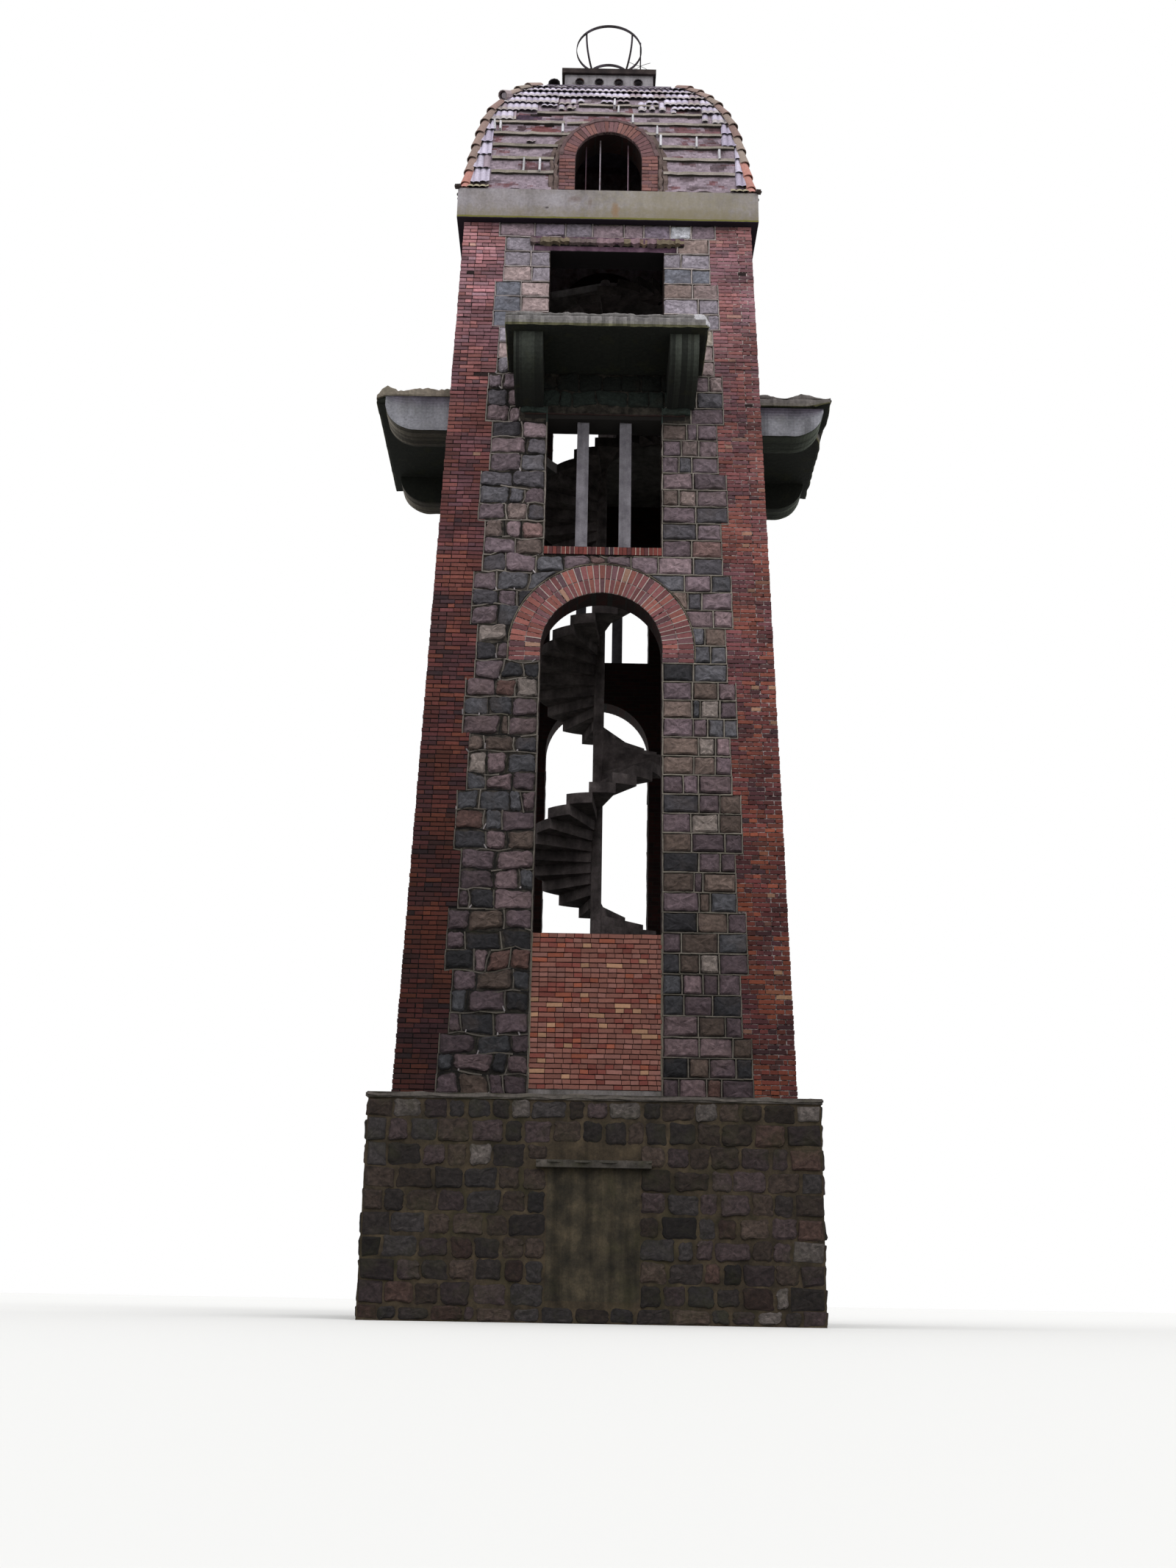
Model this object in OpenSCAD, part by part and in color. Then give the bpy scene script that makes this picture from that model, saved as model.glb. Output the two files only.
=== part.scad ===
// Square masonry lookout tower: a fieldstone plinth, a tapering brick and granite shaft with a tall
// arch in each side, four concrete balconies and a curved roof that carries an iron fire basket.
// Millimetres, +Z up. The origin is the centre of the plinth's foot and the front looks along -Y.

/* [Plinth] */
// Width of the square plinth
plinth_w = 6680; // [6500:20:7400]
// Height of the plinth's stonework
plinth_stone_h = 3120; // [2700:20:3600]
// Thickness of the cement cap on the plinth
plinth_cap_t = 80; // [50:10:150]
// Overhang of the cement cap
plinth_cap_lip = 20; // [0:5:60]
// Width of the walled-up doorway in the plinth
door_w = 1350; // [1000:10:1600]
// Height of the walled-up doorway
door_h = 1850; // [1500:10:2000]
// Height of the doorway's foot above the ground
door_foot_z = 300; // [0:10:500]
// Depth of the rendered filling in the doorway
door_fill_t = 250; // [100:10:400]
// Width of the drip ledge over the doorway
ledge_w = 1680; // [1650:10:2200]
// Height of the drip ledge
ledge_h = 105; // [60:5:160]
// Projection of the drip ledge
ledge_out = 110; // [40:5:200]

/* [Shaft] */
// Width of the shaft at its foot
shaft_foot_w = 6066; // [5900:2:6300]
// Width of the shaft under the cornice
shaft_top_w = 5232; // [5000:2:5500]
// Thickness of the walls
wall_t = 510; // [380:10:640]
// Width of a brick corner where the stone reaches out
pier_narrow = 640; // [600:10:700]
// Width of a brick corner where the stone steps back
pier_wide = 770; // [720:10:830]
// Height of one tooth of three stone courses
tooth_h = 975; // [900:5:1050]
// Height of the first tooth above the plinth
first_tooth_h = 930; // [700:10:1050]

/* [Tall arch] */
// Clear width of the arch
arch_w = 2020; // [1800:10:2060]
// Height of the springing above the plinth
arch_spring_h = 7367; // [7000:10:7500]
// Radial thickness of the brick ring
ring_t = 520; // [380:10:540]
// How far the ring runs down below the springing
ring_stilt = 247; // [100:1:500]
// Height of the brick filling in the foot of the arch
fill_h = 2410; // [1500:10:3000]
// Thickness of the brick filling
fill_t = 250; // [120:10:380]
// How far the filling stands behind the wall's face
fill_setback = 25; // [0:5:100]
// Height of the concrete strip under the filling
strip_h = 115; // [60:5:200]

/* [Middle window] */
// Clear width of the window
mid_w = 2000; // [1900:10:2100]
// Height of the stonework between the brick ring's crown and the sill
ring_cover = 173; // [120:1:400]
// Height of the brick sill
sill_t = 155; // [110:5:160]
// Projection of the brick sill
sill_out = 25; // [0:5:60]
// Clear height of the window
mid_h = 2505; // [2300:5:2600]
// Height of the concrete lintel
mid_lintel_h = 100; // [80:5:160]
// Bearing of the lintel in the stone at each end
mid_bearing = 400; // [150:10:450]
// Width of each of the two mullions
mullion_w = 205; // [120:5:250]
// Depth of a mullion
mullion_d = 200; // [120:5:250]
// How far the mullions stand behind the wall's face
mullion_setback = 90; // [0:5:200]
// Distance of a mullion's middle from the window's middle
mullion_x = 370; // [300:5:420]

/* [Balcony and its door] */
// Height of the brackets' feet above the middle window's lintel
bracket_clear = 110; // [0:5:400]
// Thickness of the balcony slab
balcony_t = 220; // [150:5:300]
// Reach of the slab beyond the wall
balcony_out = 1470; // [1200:10:1600]
// Width of the slab
balcony_w = 3440; // [3260:10:3600]
// Width of a bracket
bracket_w = 520; // [300:10:560]
// Distance of a bracket's outer face from the middle
bracket_x = 1580; // [1500:10:1620]
// Height of a bracket, which is also the radius of its front
bracket_h = 700; // [400:10:720]
// Reach of a bracket beyond the wall
bracket_out = 1300; // [900:10:1400]
// Clear width of the balcony door
top_w = 2070; // [1900:10:2100]
// Clear height of the balcony door
top_h = 2396; // [2000:4:2400]
// Height of its lintel
top_lintel_h = 150; // [100:10:200]
// Bearing of its lintel in the stone at each end
top_bearing = 330; // [150:10:400]
// Width of the drip course on the lintel
drip_w = 2800; // [2750:10:3000]
// Height of the drip course
drip_h = 130; // [60:5:160]
// Projection of the drip course
drip_out = 50; // [20:5:120]
// Height of the stonework between the drip course and the cornice
head_h = 324; // [160:2:600]

/* [Cornice and floors] */
// Height of the concrete cornice
cornice_h = 640; // [400:10:700]
// Projection of the cornice beyond the shaft
cornice_out = 140; // [80:5:250]
// Thickness of the floor at the balconies
floor_t = 200; // [120:10:220]
// Thickness of the floor under the roof
loft_t = 160; // [100:10:250]
// Radius of the stair well in each floor
well_r = 1230; // [1200:10:1500]

/* [Roof] */
// Distance of the roof's face at the eaves from the axis
eaves_r = 2640; // [2600:5:2700]
// Radius of the roof's lower curve
low_r = 13500; // [12000:100:16000]
// Radius of its upper curve
high_r = 4200; // [4000:50:4400]
// Lean of the roof's face at the eaves, in degrees
lean_foot = 6; // [4:0.5:8]
// Lean where the two curves meet
lean_joint = 13; // [12:0.5:14]
// Lean at the top edge
lean_top = 45; // [42:0.5:48]
// Thickness of the masonry vault
vault_t = 250; // [200:10:300]
// Clear width of a roof window
loft_w = 1240; // [1000:10:1300]
// Height of its springing above the cornice
loft_spring_h = 800; // [600:10:850]
// Height of its sill above the cornice
loft_sill_h = 110; // [60:10:200]
// Thickness of its brick ring
loft_ring_t = 300; // [200:10:320]
// Depth of its brick ring, from the face inward
loft_ring_d = 560; // [520:10:600]
// Distance of the ring's face from the axis
loft_face_r = 2620; // [2600:5:2640]

/* [Crown] */
// Thickness of the slab on the vault
crown_t = 80; // [60:10:150]
// Width of the ventilator block
block_w = 1790; // [1500:10:1900]
// Height of the ventilator block
block_h = 570; // [400:10:700]
// Thickness of the block's walls
block_wall = 150; // [100:10:200]
// Diameter of the block's round holes
vent_d = 165; // [100:5:200]
// Spacing of the block's round holes
vent_pitch = 395; // [330:5:420]
// Height of the holes' middle above the block's foot
vent_z = 390; // [200:10:420]
// Width of the cap slab
cap_w = 1910; // [1900:10:2100]
// Thickness of the cap slab
cap_t = 115; // [80:5:160]

/* [Fire basket] */
// Radius of the basket's upper ring
basket_r = 690; // [600:10:800]
// Radius of the lower ring
basket_low_r = 500; // [420:10:580]
// Height of the upper ring's middle above the cap slab
basket_h = 1330; // [1200:10:1500]
// Height of the lower ring's middle above the cap slab
basket_low_h = 510; // [420:10:620]
// Height of the flat bars of the rings
hoop_h = 60; // [40:5:90]
// Thickness of the flat bars
hoop_t = 14; // [8:1:20]
// Width of a rib's flat bar
rib_w = 40; // [25:5:60]
// Radius of the lightning rod
rod_r = 14; // [8:1:20]
// Length of the rod above the upper ring
rod_over = 230; // [100:10:400]

/* [Stair] */
// Radius of the newel
newel_r = 95; // [70:5:120]
// Outer radius of the treads
stair_r = 1160; // [1100:10:1190]
// Number of risers up to the balcony floor
risers = 69; // [66:1:72]
// Turn of one tread, in degrees
tread_turn = 20; // [18:0.5:22]
// Angle that a tread bears on the one below
tread_lap = 3; // [2:0.5:4]
// Direction of the first tread's front edge, in degrees
first_turn = 42; // [0:1:90]
// Treads below each floor that a well opens over
head_treads = 11; // [10:1:13]
// Joint between one tread and the next, and round the newel
stair_joint = 0.5; // [0.2:0.1:0.9]

/* [Hidden] */
$fn = 96;

FRONT = 0;
RIGHT = 1;
BACK = 2;
LEFT = 3;
SIDES = [FRONT, RIGHT, BACK, LEFT];

// Levels above the ground
plinth_top = plinth_stone_h + plinth_cap_t;
spring_z = plinth_top + arch_spring_h;
sill_top = spring_z + arch_w / 2 + ring_t + ring_cover + sill_t;
mid_top = sill_top + mid_h;
mid_lintel_top = mid_top + mid_lintel_h;
balcony_z = mid_lintel_top + bracket_clear + bracket_h;
door_sill = balcony_z + balcony_t;
door_top = door_sill + top_h;
door_lintel_top = door_top + top_lintel_h;
drip_top = door_lintel_top + drip_h;
shaft_top = drip_top + head_h;
cornice_top = shaft_top + cornice_h;
loft_spring = cornice_top + loft_spring_h;

// A span longer than any piece, for cutting and extruding, and how far a cut runs past a face
reach = 2 * plinth_w;
over = 1;

// Half the shaft's width at a height, which is the wall's outer face
shaft_h = shaft_top - plinth_top;
batter = (shaft_foot_w - shaft_top_w) / 2 / shaft_h;
function half(z) = shaft_foot_w / 2 - batter * (z - plinth_top);

// Teeth between brick and stone, counted from the plinth
teeth = ceil((shaft_h - first_tooth_h) / tooth_h) + 1;
function tooth_foot(k) = k == 0 ? plinth_top : plinth_top + first_tooth_h + (k - 1) * tooth_h;
function tooth_head(k) = min(tooth_foot(k + 1), shaft_top);
function pier_at(k) = k % 2 == 0 ? pier_narrow : pier_wide;
TOOTH_EDGE = [for (k = [0 : teeth - 1]) for (z = [tooth_foot(k), tooth_head(k)]) [half(z) - pier_at(k), z]];

// Centres of the two curves of the roof's profile, as distance from the axis and height
low_c = [eaves_r - low_r * cos(lean_foot), cornice_top - low_r * sin(lean_foot)];
joint_p = low_c + low_r * [cos(lean_joint), sin(lean_joint)];
high_c = joint_p - high_r * [cos(lean_joint), sin(lean_joint)];
crown_p = high_c + high_r * [cos(lean_top), sin(lean_top)];
low_steps = 4;
high_steps = 16;
vault_top = crown_p[1];
block_foot = vault_top + crown_t;
cap_foot = block_foot + block_h;
cap_top = cap_foot + cap_t;

// Stair
rise = (door_sill - plinth_top) / risers;
loft_risers = round((cornice_top - door_sill) / rise);
treads = risers + loft_risers;
treads_per_flight = 18;
// Level of the underside of a tread, on two rises that differ a little above the balcony floor
loft_rise = (cornice_top - door_sill) / loft_risers;
function tread_z(k) = k <= risers ? plinth_top + k * rise : door_sill + (k - risers) * loft_rise;

// How far the rod and the ribs are sunk in the rings by their welds
weld = 4;

GRANITE = "#6f6468";
BRICK = "#8e4436";
NEW_BRICK = "#b25c45";
CONCRETE = "#8a8377";
RENDER = "#8d7c62";
IRON = "#4a3d38";
MASONRY = "#9c8478";

module on_side(side) {
    rotate([0, 0, 90 * side]) children();
}

// A slice of the front wall that leans with the shaft, between two depths from its outer face
module leaning_slice(outer, inner, z0, z1) {
    rotate([90, 0, 90])
        linear_extrude(height = reach, center = true)
            polygon([
                [-half(z0) + outer, z0],
                [-half(z0) + inner, z0],
                [-half(z1) + inner, z1],
                [-half(z1) + outer, z1]
            ]);
}

// The part of the front wall behind an outline drawn in X and Z
module in_wall(outer = 0, inner = wall_t, z0 = plinth_top, z1 = shaft_top) {
    intersection() {
        leaning_slice(outer, inner, z0, z1);
        rotate([90, 0, 0]) linear_extrude(height = reach) children();
    }
}

module band(w, z0, z1) {
    translate([-w / 2, z0]) square([w, z1 - z0]);
}

// A round arch on straight legs, drawn in X and Z
module arch_outline(r, spring, foot) {
    band(2 * r, foot, spring);
    intersection() {
        translate([0, spring]) circle(r = r);
        band(2 * r, spring, spring + r);
    }
}

// The shaft's outline at an inset, as a solid that tapers both ways
module tapered_bar(inset, z0, z1) {
    rotate([90, 0, 0])
        linear_extrude(height = reach, center = true)
            polygon([
                [-half(z0) + inset, z0],
                [half(z0) - inset, z0],
                [half(z1) - inset, z1],
                [-half(z1) + inset, z1]
            ]);
}

module shaft_form(inset, z0, z1) {
    intersection() {
        tapered_bar(inset, z0, z1);
        rotate([0, 0, 90]) tapered_bar(inset, z0, z1);
    }
}

module square_slab(w, z0, z1) {
    translate([-w / 2, -w / 2, z0]) cube([w, w, z1 - z0]);
}

module plinth() {
    color(GRANITE)
        difference() {
            square_slab(plinth_w, 0, plinth_stone_h);
            translate([-door_w / 2, -plinth_w / 2 - over, door_foot_z])
                cube([door_w, door_fill_t + over, door_h]);
        }
}

module plinth_cap() {
    color(CONCRETE) square_slab(plinth_w + 2 * plinth_cap_lip, plinth_stone_h, plinth_top);
}

module plinth_door_fill() {
    color(RENDER)
        translate([-door_w / 2, -plinth_w / 2, door_foot_z]) cube([door_w, door_fill_t, door_h]);
}

module plinth_door_ledge() {
    color(CONCRETE)
        translate([-ledge_w / 2, -plinth_w / 2 - ledge_out, door_foot_z + door_h])
            cube([ledge_w, ledge_out, ledge_h]);
}

// A brick corner, toothed on both faces, to the right of the front
module pier() {
    corner = concat(TOOTH_EDGE, [[half(shaft_top), shaft_top], [half(plinth_top), plinth_top]]);
    color(BRICK)
        union() {
            in_wall() polygon(corner);
            rotate([0, 0, 90]) mirror([1, 0, 0]) in_wall() polygon(corner);
        }
}

// What the stonework leaves free for the ring, the lintels and the openings
module stone_cuts() {
    arch_outline(arch_w / 2 + ring_t, spring_z, spring_z - ring_stilt);
    band(mid_w + 2 * mid_bearing, mid_top, mid_lintel_top);
    band(top_w + 2 * top_bearing, door_top, door_lintel_top);
    band(drip_w, door_lintel_top, drip_top);
}

// The stonework between the openings and the brick corner
module stone_side() {
    inner = [
        [top_w / 2, shaft_top],
        [top_w / 2, door_sill],
        [mid_w / 2, door_sill],
        [mid_w / 2, spring_z],
        [arch_w / 2, spring_z],
        [arch_w / 2, plinth_top]
    ];
    color(GRANITE)
        in_wall()
            difference() {
                polygon(concat(TOOTH_EDGE, inner));
                stone_cuts();
            }
}

// The stonework over the arch, under the balcony and over its door
module stone_centre() {
    color(GRANITE)
        in_wall()
            difference() {
                union() {
                    band(mid_w, spring_z, sill_top - sill_t);
                    band(mid_w, mid_lintel_top, door_sill);
                    band(top_w, drip_top, shaft_top);
                }
                stone_cuts();
            }
}

module arch_ring() {
    color(BRICK)
        in_wall()
            difference() {
                arch_outline(arch_w / 2 + ring_t, spring_z, spring_z - ring_stilt);
                arch_outline(arch_w / 2, spring_z, spring_z - ring_stilt);
            }
}

module arch_fill() {
    foot = plinth_top + strip_h;
    color(NEW_BRICK) in_wall(fill_setback, fill_setback + fill_t) band(arch_w, foot, foot + fill_h);
}

module arch_strip() {
    color(CONCRETE)
        in_wall(fill_setback, fill_setback + fill_t) band(arch_w, plinth_top, plinth_top + strip_h);
}

module window_sill() {
    color(BRICK) in_wall(-sill_out) band(mid_w, sill_top - sill_t, sill_top);
}

// Two mullions and the lintel that they carry
module window_frame() {
    color(CONCRETE)
        union() {
            in_wall() band(mid_w + 2 * mid_bearing, mid_top, mid_lintel_top);
            in_wall(mullion_setback, mullion_setback + mullion_d)
                for (side = [-1, 1])
                    translate([side * mullion_x, 0]) band(mullion_w, sill_top, mid_top);
        }
}

// A lintel and the drip course that lies on it
module door_lintel() {
    color(IRON)
        union() {
            in_wall() band(top_w + 2 * top_bearing, door_top, door_lintel_top);
            in_wall(-drip_out) band(drip_w, door_lintel_top, drip_top);
        }
}

// The side view of a bracket: distance from the wall, and height
module bracket_outline(face) {
    back = face + bracket_out - bracket_h;
    translate([0, balcony_z - bracket_h]) square([back, bracket_h]);
    intersection() {
        translate([back, balcony_z]) circle(r = bracket_h);
        translate([back, balcony_z - bracket_h]) square([bracket_h, bracket_h]);
    }
}

module balcony() {
    face = half(balcony_z);
    color(CONCRETE)
        difference() {
            union() {
                translate([-balcony_w / 2, -face - balcony_out, balcony_z])
                    cube([balcony_w, face + balcony_out, balcony_t]);
                for (x = [-bracket_x, bracket_x - bracket_w])
                    translate([x, 0, 0])
                        rotate([90, 0, -90])
                            mirror([0, 0, 1])
                                linear_extrude(height = bracket_w) bracket_outline(face);
            }
            shaft_form(0, plinth_top, shaft_top);
        }
}

// A round well's plan, which the landing at the head of so many treads closes up to the newel
module well_plan(climbed) {
    landing_from = first_turn + climbed * tread_turn + tread_lap;
    landing = 360 - head_treads * tread_turn - tread_lap;
    difference() {
        circle(r = well_r);
        polygon([
            [0, 0],
            for (part = [0 : 0.5 : 1])
                2 * well_r * [cos(landing_from + part * landing), sin(landing_from + part * landing)]
        ]);
    }
    circle(r = newel_r + stair_joint);
}

module stair_well(climbed, z0, z1) {
    translate([0, 0, z0 - over]) linear_extrude(height = z1 - z0 + 2 * over) well_plan(climbed);
}

module balcony_floor() {
    foot = door_sill - floor_t;
    color(CONCRETE)
        difference() {
            shaft_form(wall_t, foot, door_sill);
            stair_well(risers, foot, door_sill);
        }
}

module loft_floor() {
    w = 2 * (half(shaft_top) - wall_t);
    foot = cornice_top - loft_t;
    color(CONCRETE)
        difference() {
            square_slab(w, foot, cornice_top);
            stair_well(treads, foot, cornice_top);
        }
}

module cornice() {
    outer = 2 * (half(shaft_top) + cornice_out);
    inner = 2 * (half(shaft_top) - wall_t);
    color(CONCRETE)
        difference() {
            square_slab(outer, shaft_top, cornice_top);
            square_slab(inner, shaft_top - over, cornice_top + over);
        }
}

// Points along one of the roof's two curves, between two leans of its face
function roof_arc(centre, r, lean0, lean1, steps) =
    [for (lean = [lean0 : (lean1 - lean0) / steps : lean1]) centre + r * [cos(lean), sin(lean)]];

function roof_side(inset) =
    concat(
        roof_arc(low_c, low_r - inset, lean_foot, lean_joint, low_steps),
        roof_arc(high_c, high_r - inset, lean_joint, lean_top, high_steps)
    );

// The roof's section through its middle, from the eaves to the flat top
module roof_section(inset) {
    side = roof_side(inset);
    top = [side[len(side) - 1][0], vault_top];
    right = concat([[side[0][0], cornice_top - vault_t]], side, [top]);
    polygon(concat(right, [for (i = [len(right) - 1 : -1 : 0]) [-right[i][0], right[i][1]]]));
}

module roof_ridge(inset) {
    rotate([90, 0, 0]) linear_extrude(height = reach, center = true) roof_section(inset);
}

// The space under the roof's curve on all four sides
module roof_form(inset) {
    intersection() {
        roof_ridge(inset);
        rotate([0, 0, 90]) roof_ridge(inset);
    }
}

module loft_opening(r, foot) {
    for (turn = [0, 90])
        rotate([90, 0, turn])
            linear_extrude(height = reach, center = true)
                arch_outline(r, loft_spring, foot);
}

module roof_vault() {
    color(MASONRY)
        difference() {
            roof_form(0);
            roof_form(vault_t);
            loft_opening(loft_w / 2 + loft_ring_t, shaft_top);
            square_slab(3 * eaves_r, shaft_top, cornice_top);
        }
}

module roof_window_ring() {
    color(BRICK)
        translate([0, -loft_face_r + loft_ring_d, 0])
            rotate([90, 0, 0])
                linear_extrude(height = loft_ring_d)
                    difference() {
                        arch_outline(loft_w / 2 + loft_ring_t, loft_spring, cornice_top);
                        arch_outline(loft_w / 2, loft_spring, cornice_top + loft_sill_h);
                    }
}

module crown_slab() {
    color(CONCRETE) square_slab(2 * crown_p[0], vault_top, block_foot);
}

module vent_block() {
    color(CONCRETE)
        difference() {
            square_slab(block_w, block_foot, cap_foot);
            square_slab(block_w - 2 * block_wall, block_foot - over, cap_foot + over);
            for (turn = [0, 90], i = [-1.5 : 1.5])
                rotate([90, 0, turn])
                    translate([i * vent_pitch, block_foot + vent_z, -reach / 2])
                        cylinder(d = vent_d, h = reach);
        }
}

module cap_slab() {
    color(CONCRETE) square_slab(cap_w, cap_foot, cap_top);
}

module hoop(r, z) {
    translate([0, 0, z - hoop_h / 2])
        difference() {
            cylinder(r = r, h = hoop_h);
            translate([0, 0, -over]) cylinder(r = r - hoop_t, h = hoop_h + 2 * over);
        }
}

// A rib stands on the cap slab outside the lower ring and flares up to the inside of the upper ring
module basket_rib() {
    rib_top_r = basket_r - hoop_t + weld;
    rib_low_r = basket_low_r + hoop_t - weld;
    drop = basket_h - basket_low_h;
    flare = rib_top_r - rib_low_r;
    // The arc hangs upright from the upper ring and leans in to the lower ring
    bend = (drop * drop + flare * flare) / 2 / flare;
    rotate([90, 0, 0])
        linear_extrude(height = rib_w, center = true) {
            translate([rib_low_r - hoop_t, cap_top]) square([hoop_t, basket_low_h]);
            translate([rib_top_r - bend, cap_top + basket_h])
                intersection() {
                    difference() {
                        circle(r = bend, $fn = 180);
                        circle(r = bend - hoop_t, $fn = 180);
                    }
                    translate([bend - 2 * flare, -drop]) square([2 * flare, drop]);
                }
        }
}

module fire_basket() {
    color(IRON)
        union() {
            hoop(basket_r, cap_top + basket_h);
            hoop(basket_low_r, cap_top + basket_low_h);
            for (turn = [45 : 90 : 315]) rotate([0, 0, turn]) basket_rib();
            translate([basket_r - hoop_t - rod_r + weld, 0, cap_top])
                cylinder(r = rod_r, h = basket_h + rod_over, $fn = 24);
        }
}

module newel() {
    color(CONCRETE) translate([0, 0, plinth_top]) cylinder(r = newel_r, h = cornice_top - plinth_top);
}

// One wedge of the stair, in plan
module tread_plan() {
    turn = tread_turn + tread_lap;
    difference() {
        intersection() {
            circle(r = stair_r);
            polygon([[0, 0], [2 * stair_r, 0], 2 * stair_r * [cos(turn), sin(turn)]]);
        }
        circle(r = newel_r + stair_joint);
    }
}

module stair_flight(number) {
    first = (number - 1) * treads_per_flight;
    last = min(number * treads_per_flight, treads) - 1;
    color(CONCRETE)
        for (k = [first : last])
            translate([0, 0, tread_z(k)])
                rotate([0, 0, first_turn + k * tread_turn])
                    linear_extrude(height = tread_z(k + 1) - tread_z(k) - stair_joint) tread_plan();
}

plinth();
plinth_cap();
plinth_door_fill();
plinth_door_ledge();
on_side(FRONT) pier();  // pier_front_right
on_side(RIGHT) pier();  // pier_back_right
on_side(BACK) pier();  // pier_back_left
on_side(LEFT) pier();  // pier_front_left
on_side(FRONT) mirror([1, 0, 0]) stone_side();  // front_stone_left
on_side(RIGHT) mirror([1, 0, 0]) stone_side();  // right_stone_left
on_side(BACK) mirror([1, 0, 0]) stone_side();  // back_stone_left
on_side(LEFT) mirror([1, 0, 0]) stone_side();  // left_stone_left
on_side(FRONT) stone_side();  // front_stone_right
on_side(RIGHT) stone_side();  // right_stone_right
on_side(BACK) stone_side();  // back_stone_right
on_side(LEFT) stone_side();  // left_stone_right
on_side(FRONT) stone_centre();  // front_stone_centre
on_side(RIGHT) stone_centre();  // right_stone_centre
on_side(BACK) stone_centre();  // back_stone_centre
on_side(LEFT) stone_centre();  // left_stone_centre
for (side = SIDES) on_side(side) arch_ring();  // arch_rings
for (side = SIDES) on_side(side) arch_fill();  // arch_fills
for (side = SIDES) on_side(side) arch_strip();  // arch_strips
for (side = SIDES) on_side(side) window_sill();  // window_sills
for (side = SIDES) on_side(side) window_frame();  // window_frames
for (side = SIDES) on_side(side) door_lintel();  // door_lintels
on_side(FRONT) balcony();  // front_balcony
on_side(RIGHT) balcony();  // right_balcony
on_side(BACK) balcony();  // back_balcony
on_side(LEFT) balcony();  // left_balcony
balcony_floor();
loft_floor();
cornice();
roof_vault();
for (side = SIDES) on_side(side) roof_window_ring();  // roof_window_rings
crown_slab();
vent_block();
cap_slab();
fire_basket();
newel();
stair_flight(1);  // stair_flight_1
stair_flight(2);  // stair_flight_2
stair_flight(3);  // stair_flight_3
stair_flight(4);  // stair_flight_4
stair_flight(5);  // stair_flight_5
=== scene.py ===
"""The looks of a square masonry lookout tower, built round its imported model. Metres, +Z up, front along -Y."""

import random
from itertools import product
from math import asin, copysign, cos, degrees, exp, hypot, pi, radians, sin, sqrt

import bmesh
import bpy
from mathutils import Matrix, Vector, noise


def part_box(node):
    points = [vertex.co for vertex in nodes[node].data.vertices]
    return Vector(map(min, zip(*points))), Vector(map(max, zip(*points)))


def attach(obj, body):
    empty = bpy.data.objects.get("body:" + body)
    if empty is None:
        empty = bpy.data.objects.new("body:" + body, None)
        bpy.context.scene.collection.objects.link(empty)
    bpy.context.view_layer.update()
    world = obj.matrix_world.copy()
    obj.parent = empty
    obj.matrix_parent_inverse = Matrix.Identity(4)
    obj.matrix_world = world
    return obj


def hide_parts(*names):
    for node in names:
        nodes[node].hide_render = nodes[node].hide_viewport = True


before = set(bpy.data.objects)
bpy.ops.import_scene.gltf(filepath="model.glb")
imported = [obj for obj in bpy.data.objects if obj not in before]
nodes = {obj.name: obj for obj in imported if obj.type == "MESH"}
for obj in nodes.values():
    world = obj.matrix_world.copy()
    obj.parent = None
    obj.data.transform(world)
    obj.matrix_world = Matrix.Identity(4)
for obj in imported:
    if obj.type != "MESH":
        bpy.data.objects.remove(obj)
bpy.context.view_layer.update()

FRONT, RIGHT, BACK, LEFT = range(4)
SIDES = (FRONT, RIGHT, BACK, LEFT)
SIDE_NAMES = ("front", "right", "back", "left")

UP = Vector((0, 0, 1))

# Camera, solved from the photograph
CAMERA_AT = Vector((-0.236, -26.961, 0.300))
CAMERA_PITCH = 0.3164
CAMERA_YAW = 0.0023
CAMERA_ROLL = 0.0175
FOCAL_PIXELS = 2150.64
PHOTO_WIDTH = 1600
SENSOR = 36.0

# Levels and sizes of the masonry, as the solids have them
PLINTH_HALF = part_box("plinth")[1].x
PLINTH_STONE_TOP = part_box("plinth")[1].z
PLINTH_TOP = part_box("plinth_cap")[1].z
SHAFT_FOOT_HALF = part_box("pier_front_right")[1].x
SHAFT_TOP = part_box("pier_front_right")[1].z
SHAFT_TOP_HALF = 2.616
CORNICE_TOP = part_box("cornice")[1].z
CORNICE_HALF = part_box("cornice")[1].x
BATTER = (SHAFT_FOOT_HALF - SHAFT_TOP_HALF) / (SHAFT_TOP - PLINTH_TOP)
PIER_NARROW, PIER_WIDE = 0.64, 0.77
FIRST_TOOTH, TOOTH = 0.93, 0.975
COURSES_PER_TOOTH = 3

ARCH_HALF = 1.01
ARCH_SPRING = PLINTH_TOP + 7.367
RING = 0.52
RING_FOOT = ARCH_SPRING - 0.247
FILL_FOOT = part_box("arch_fills")[0].z
FILL_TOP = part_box("arch_fills")[1].z
FILL_SETBACK = 0.025
SILL_PROUD = 0.025
SILL_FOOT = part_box("window_sills")[0].z
SILL_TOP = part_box("window_sills")[1].z
MID_HALF = 1.0
MID_TOP = SILL_TOP + 2.505
MID_LINTEL_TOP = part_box("window_frames")[1].z
MID_LINTEL_HALF = MID_HALF + 0.4
BALCONY_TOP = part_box("front_balcony")[1].z
SLAB = 0.22
BALCONY_FOOT = BALCONY_TOP - SLAB
DOOR_HALF = 1.035
DOOR_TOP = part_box("door_lintels")[0].z
LINTEL_TOP = DOOR_TOP + 0.15
LINTEL_HALF = DOOR_HALF + 0.33
DRIP_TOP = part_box("door_lintels")[1].z
DRIP_HALF = 1.4

BRICK_COURSE = 0.0766
BRICK_LONG = 0.25
BRICK_SHORT = 0.12
JOINT = 0.014
UPRIGHT_JOINT = 0.0035
BRICK_PROUD = 0.011


def half(z):
    """Half the shaft's width at a height."""
    return SHAFT_FOOT_HALF - BATTER * (z - PLINTH_TOP)


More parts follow.
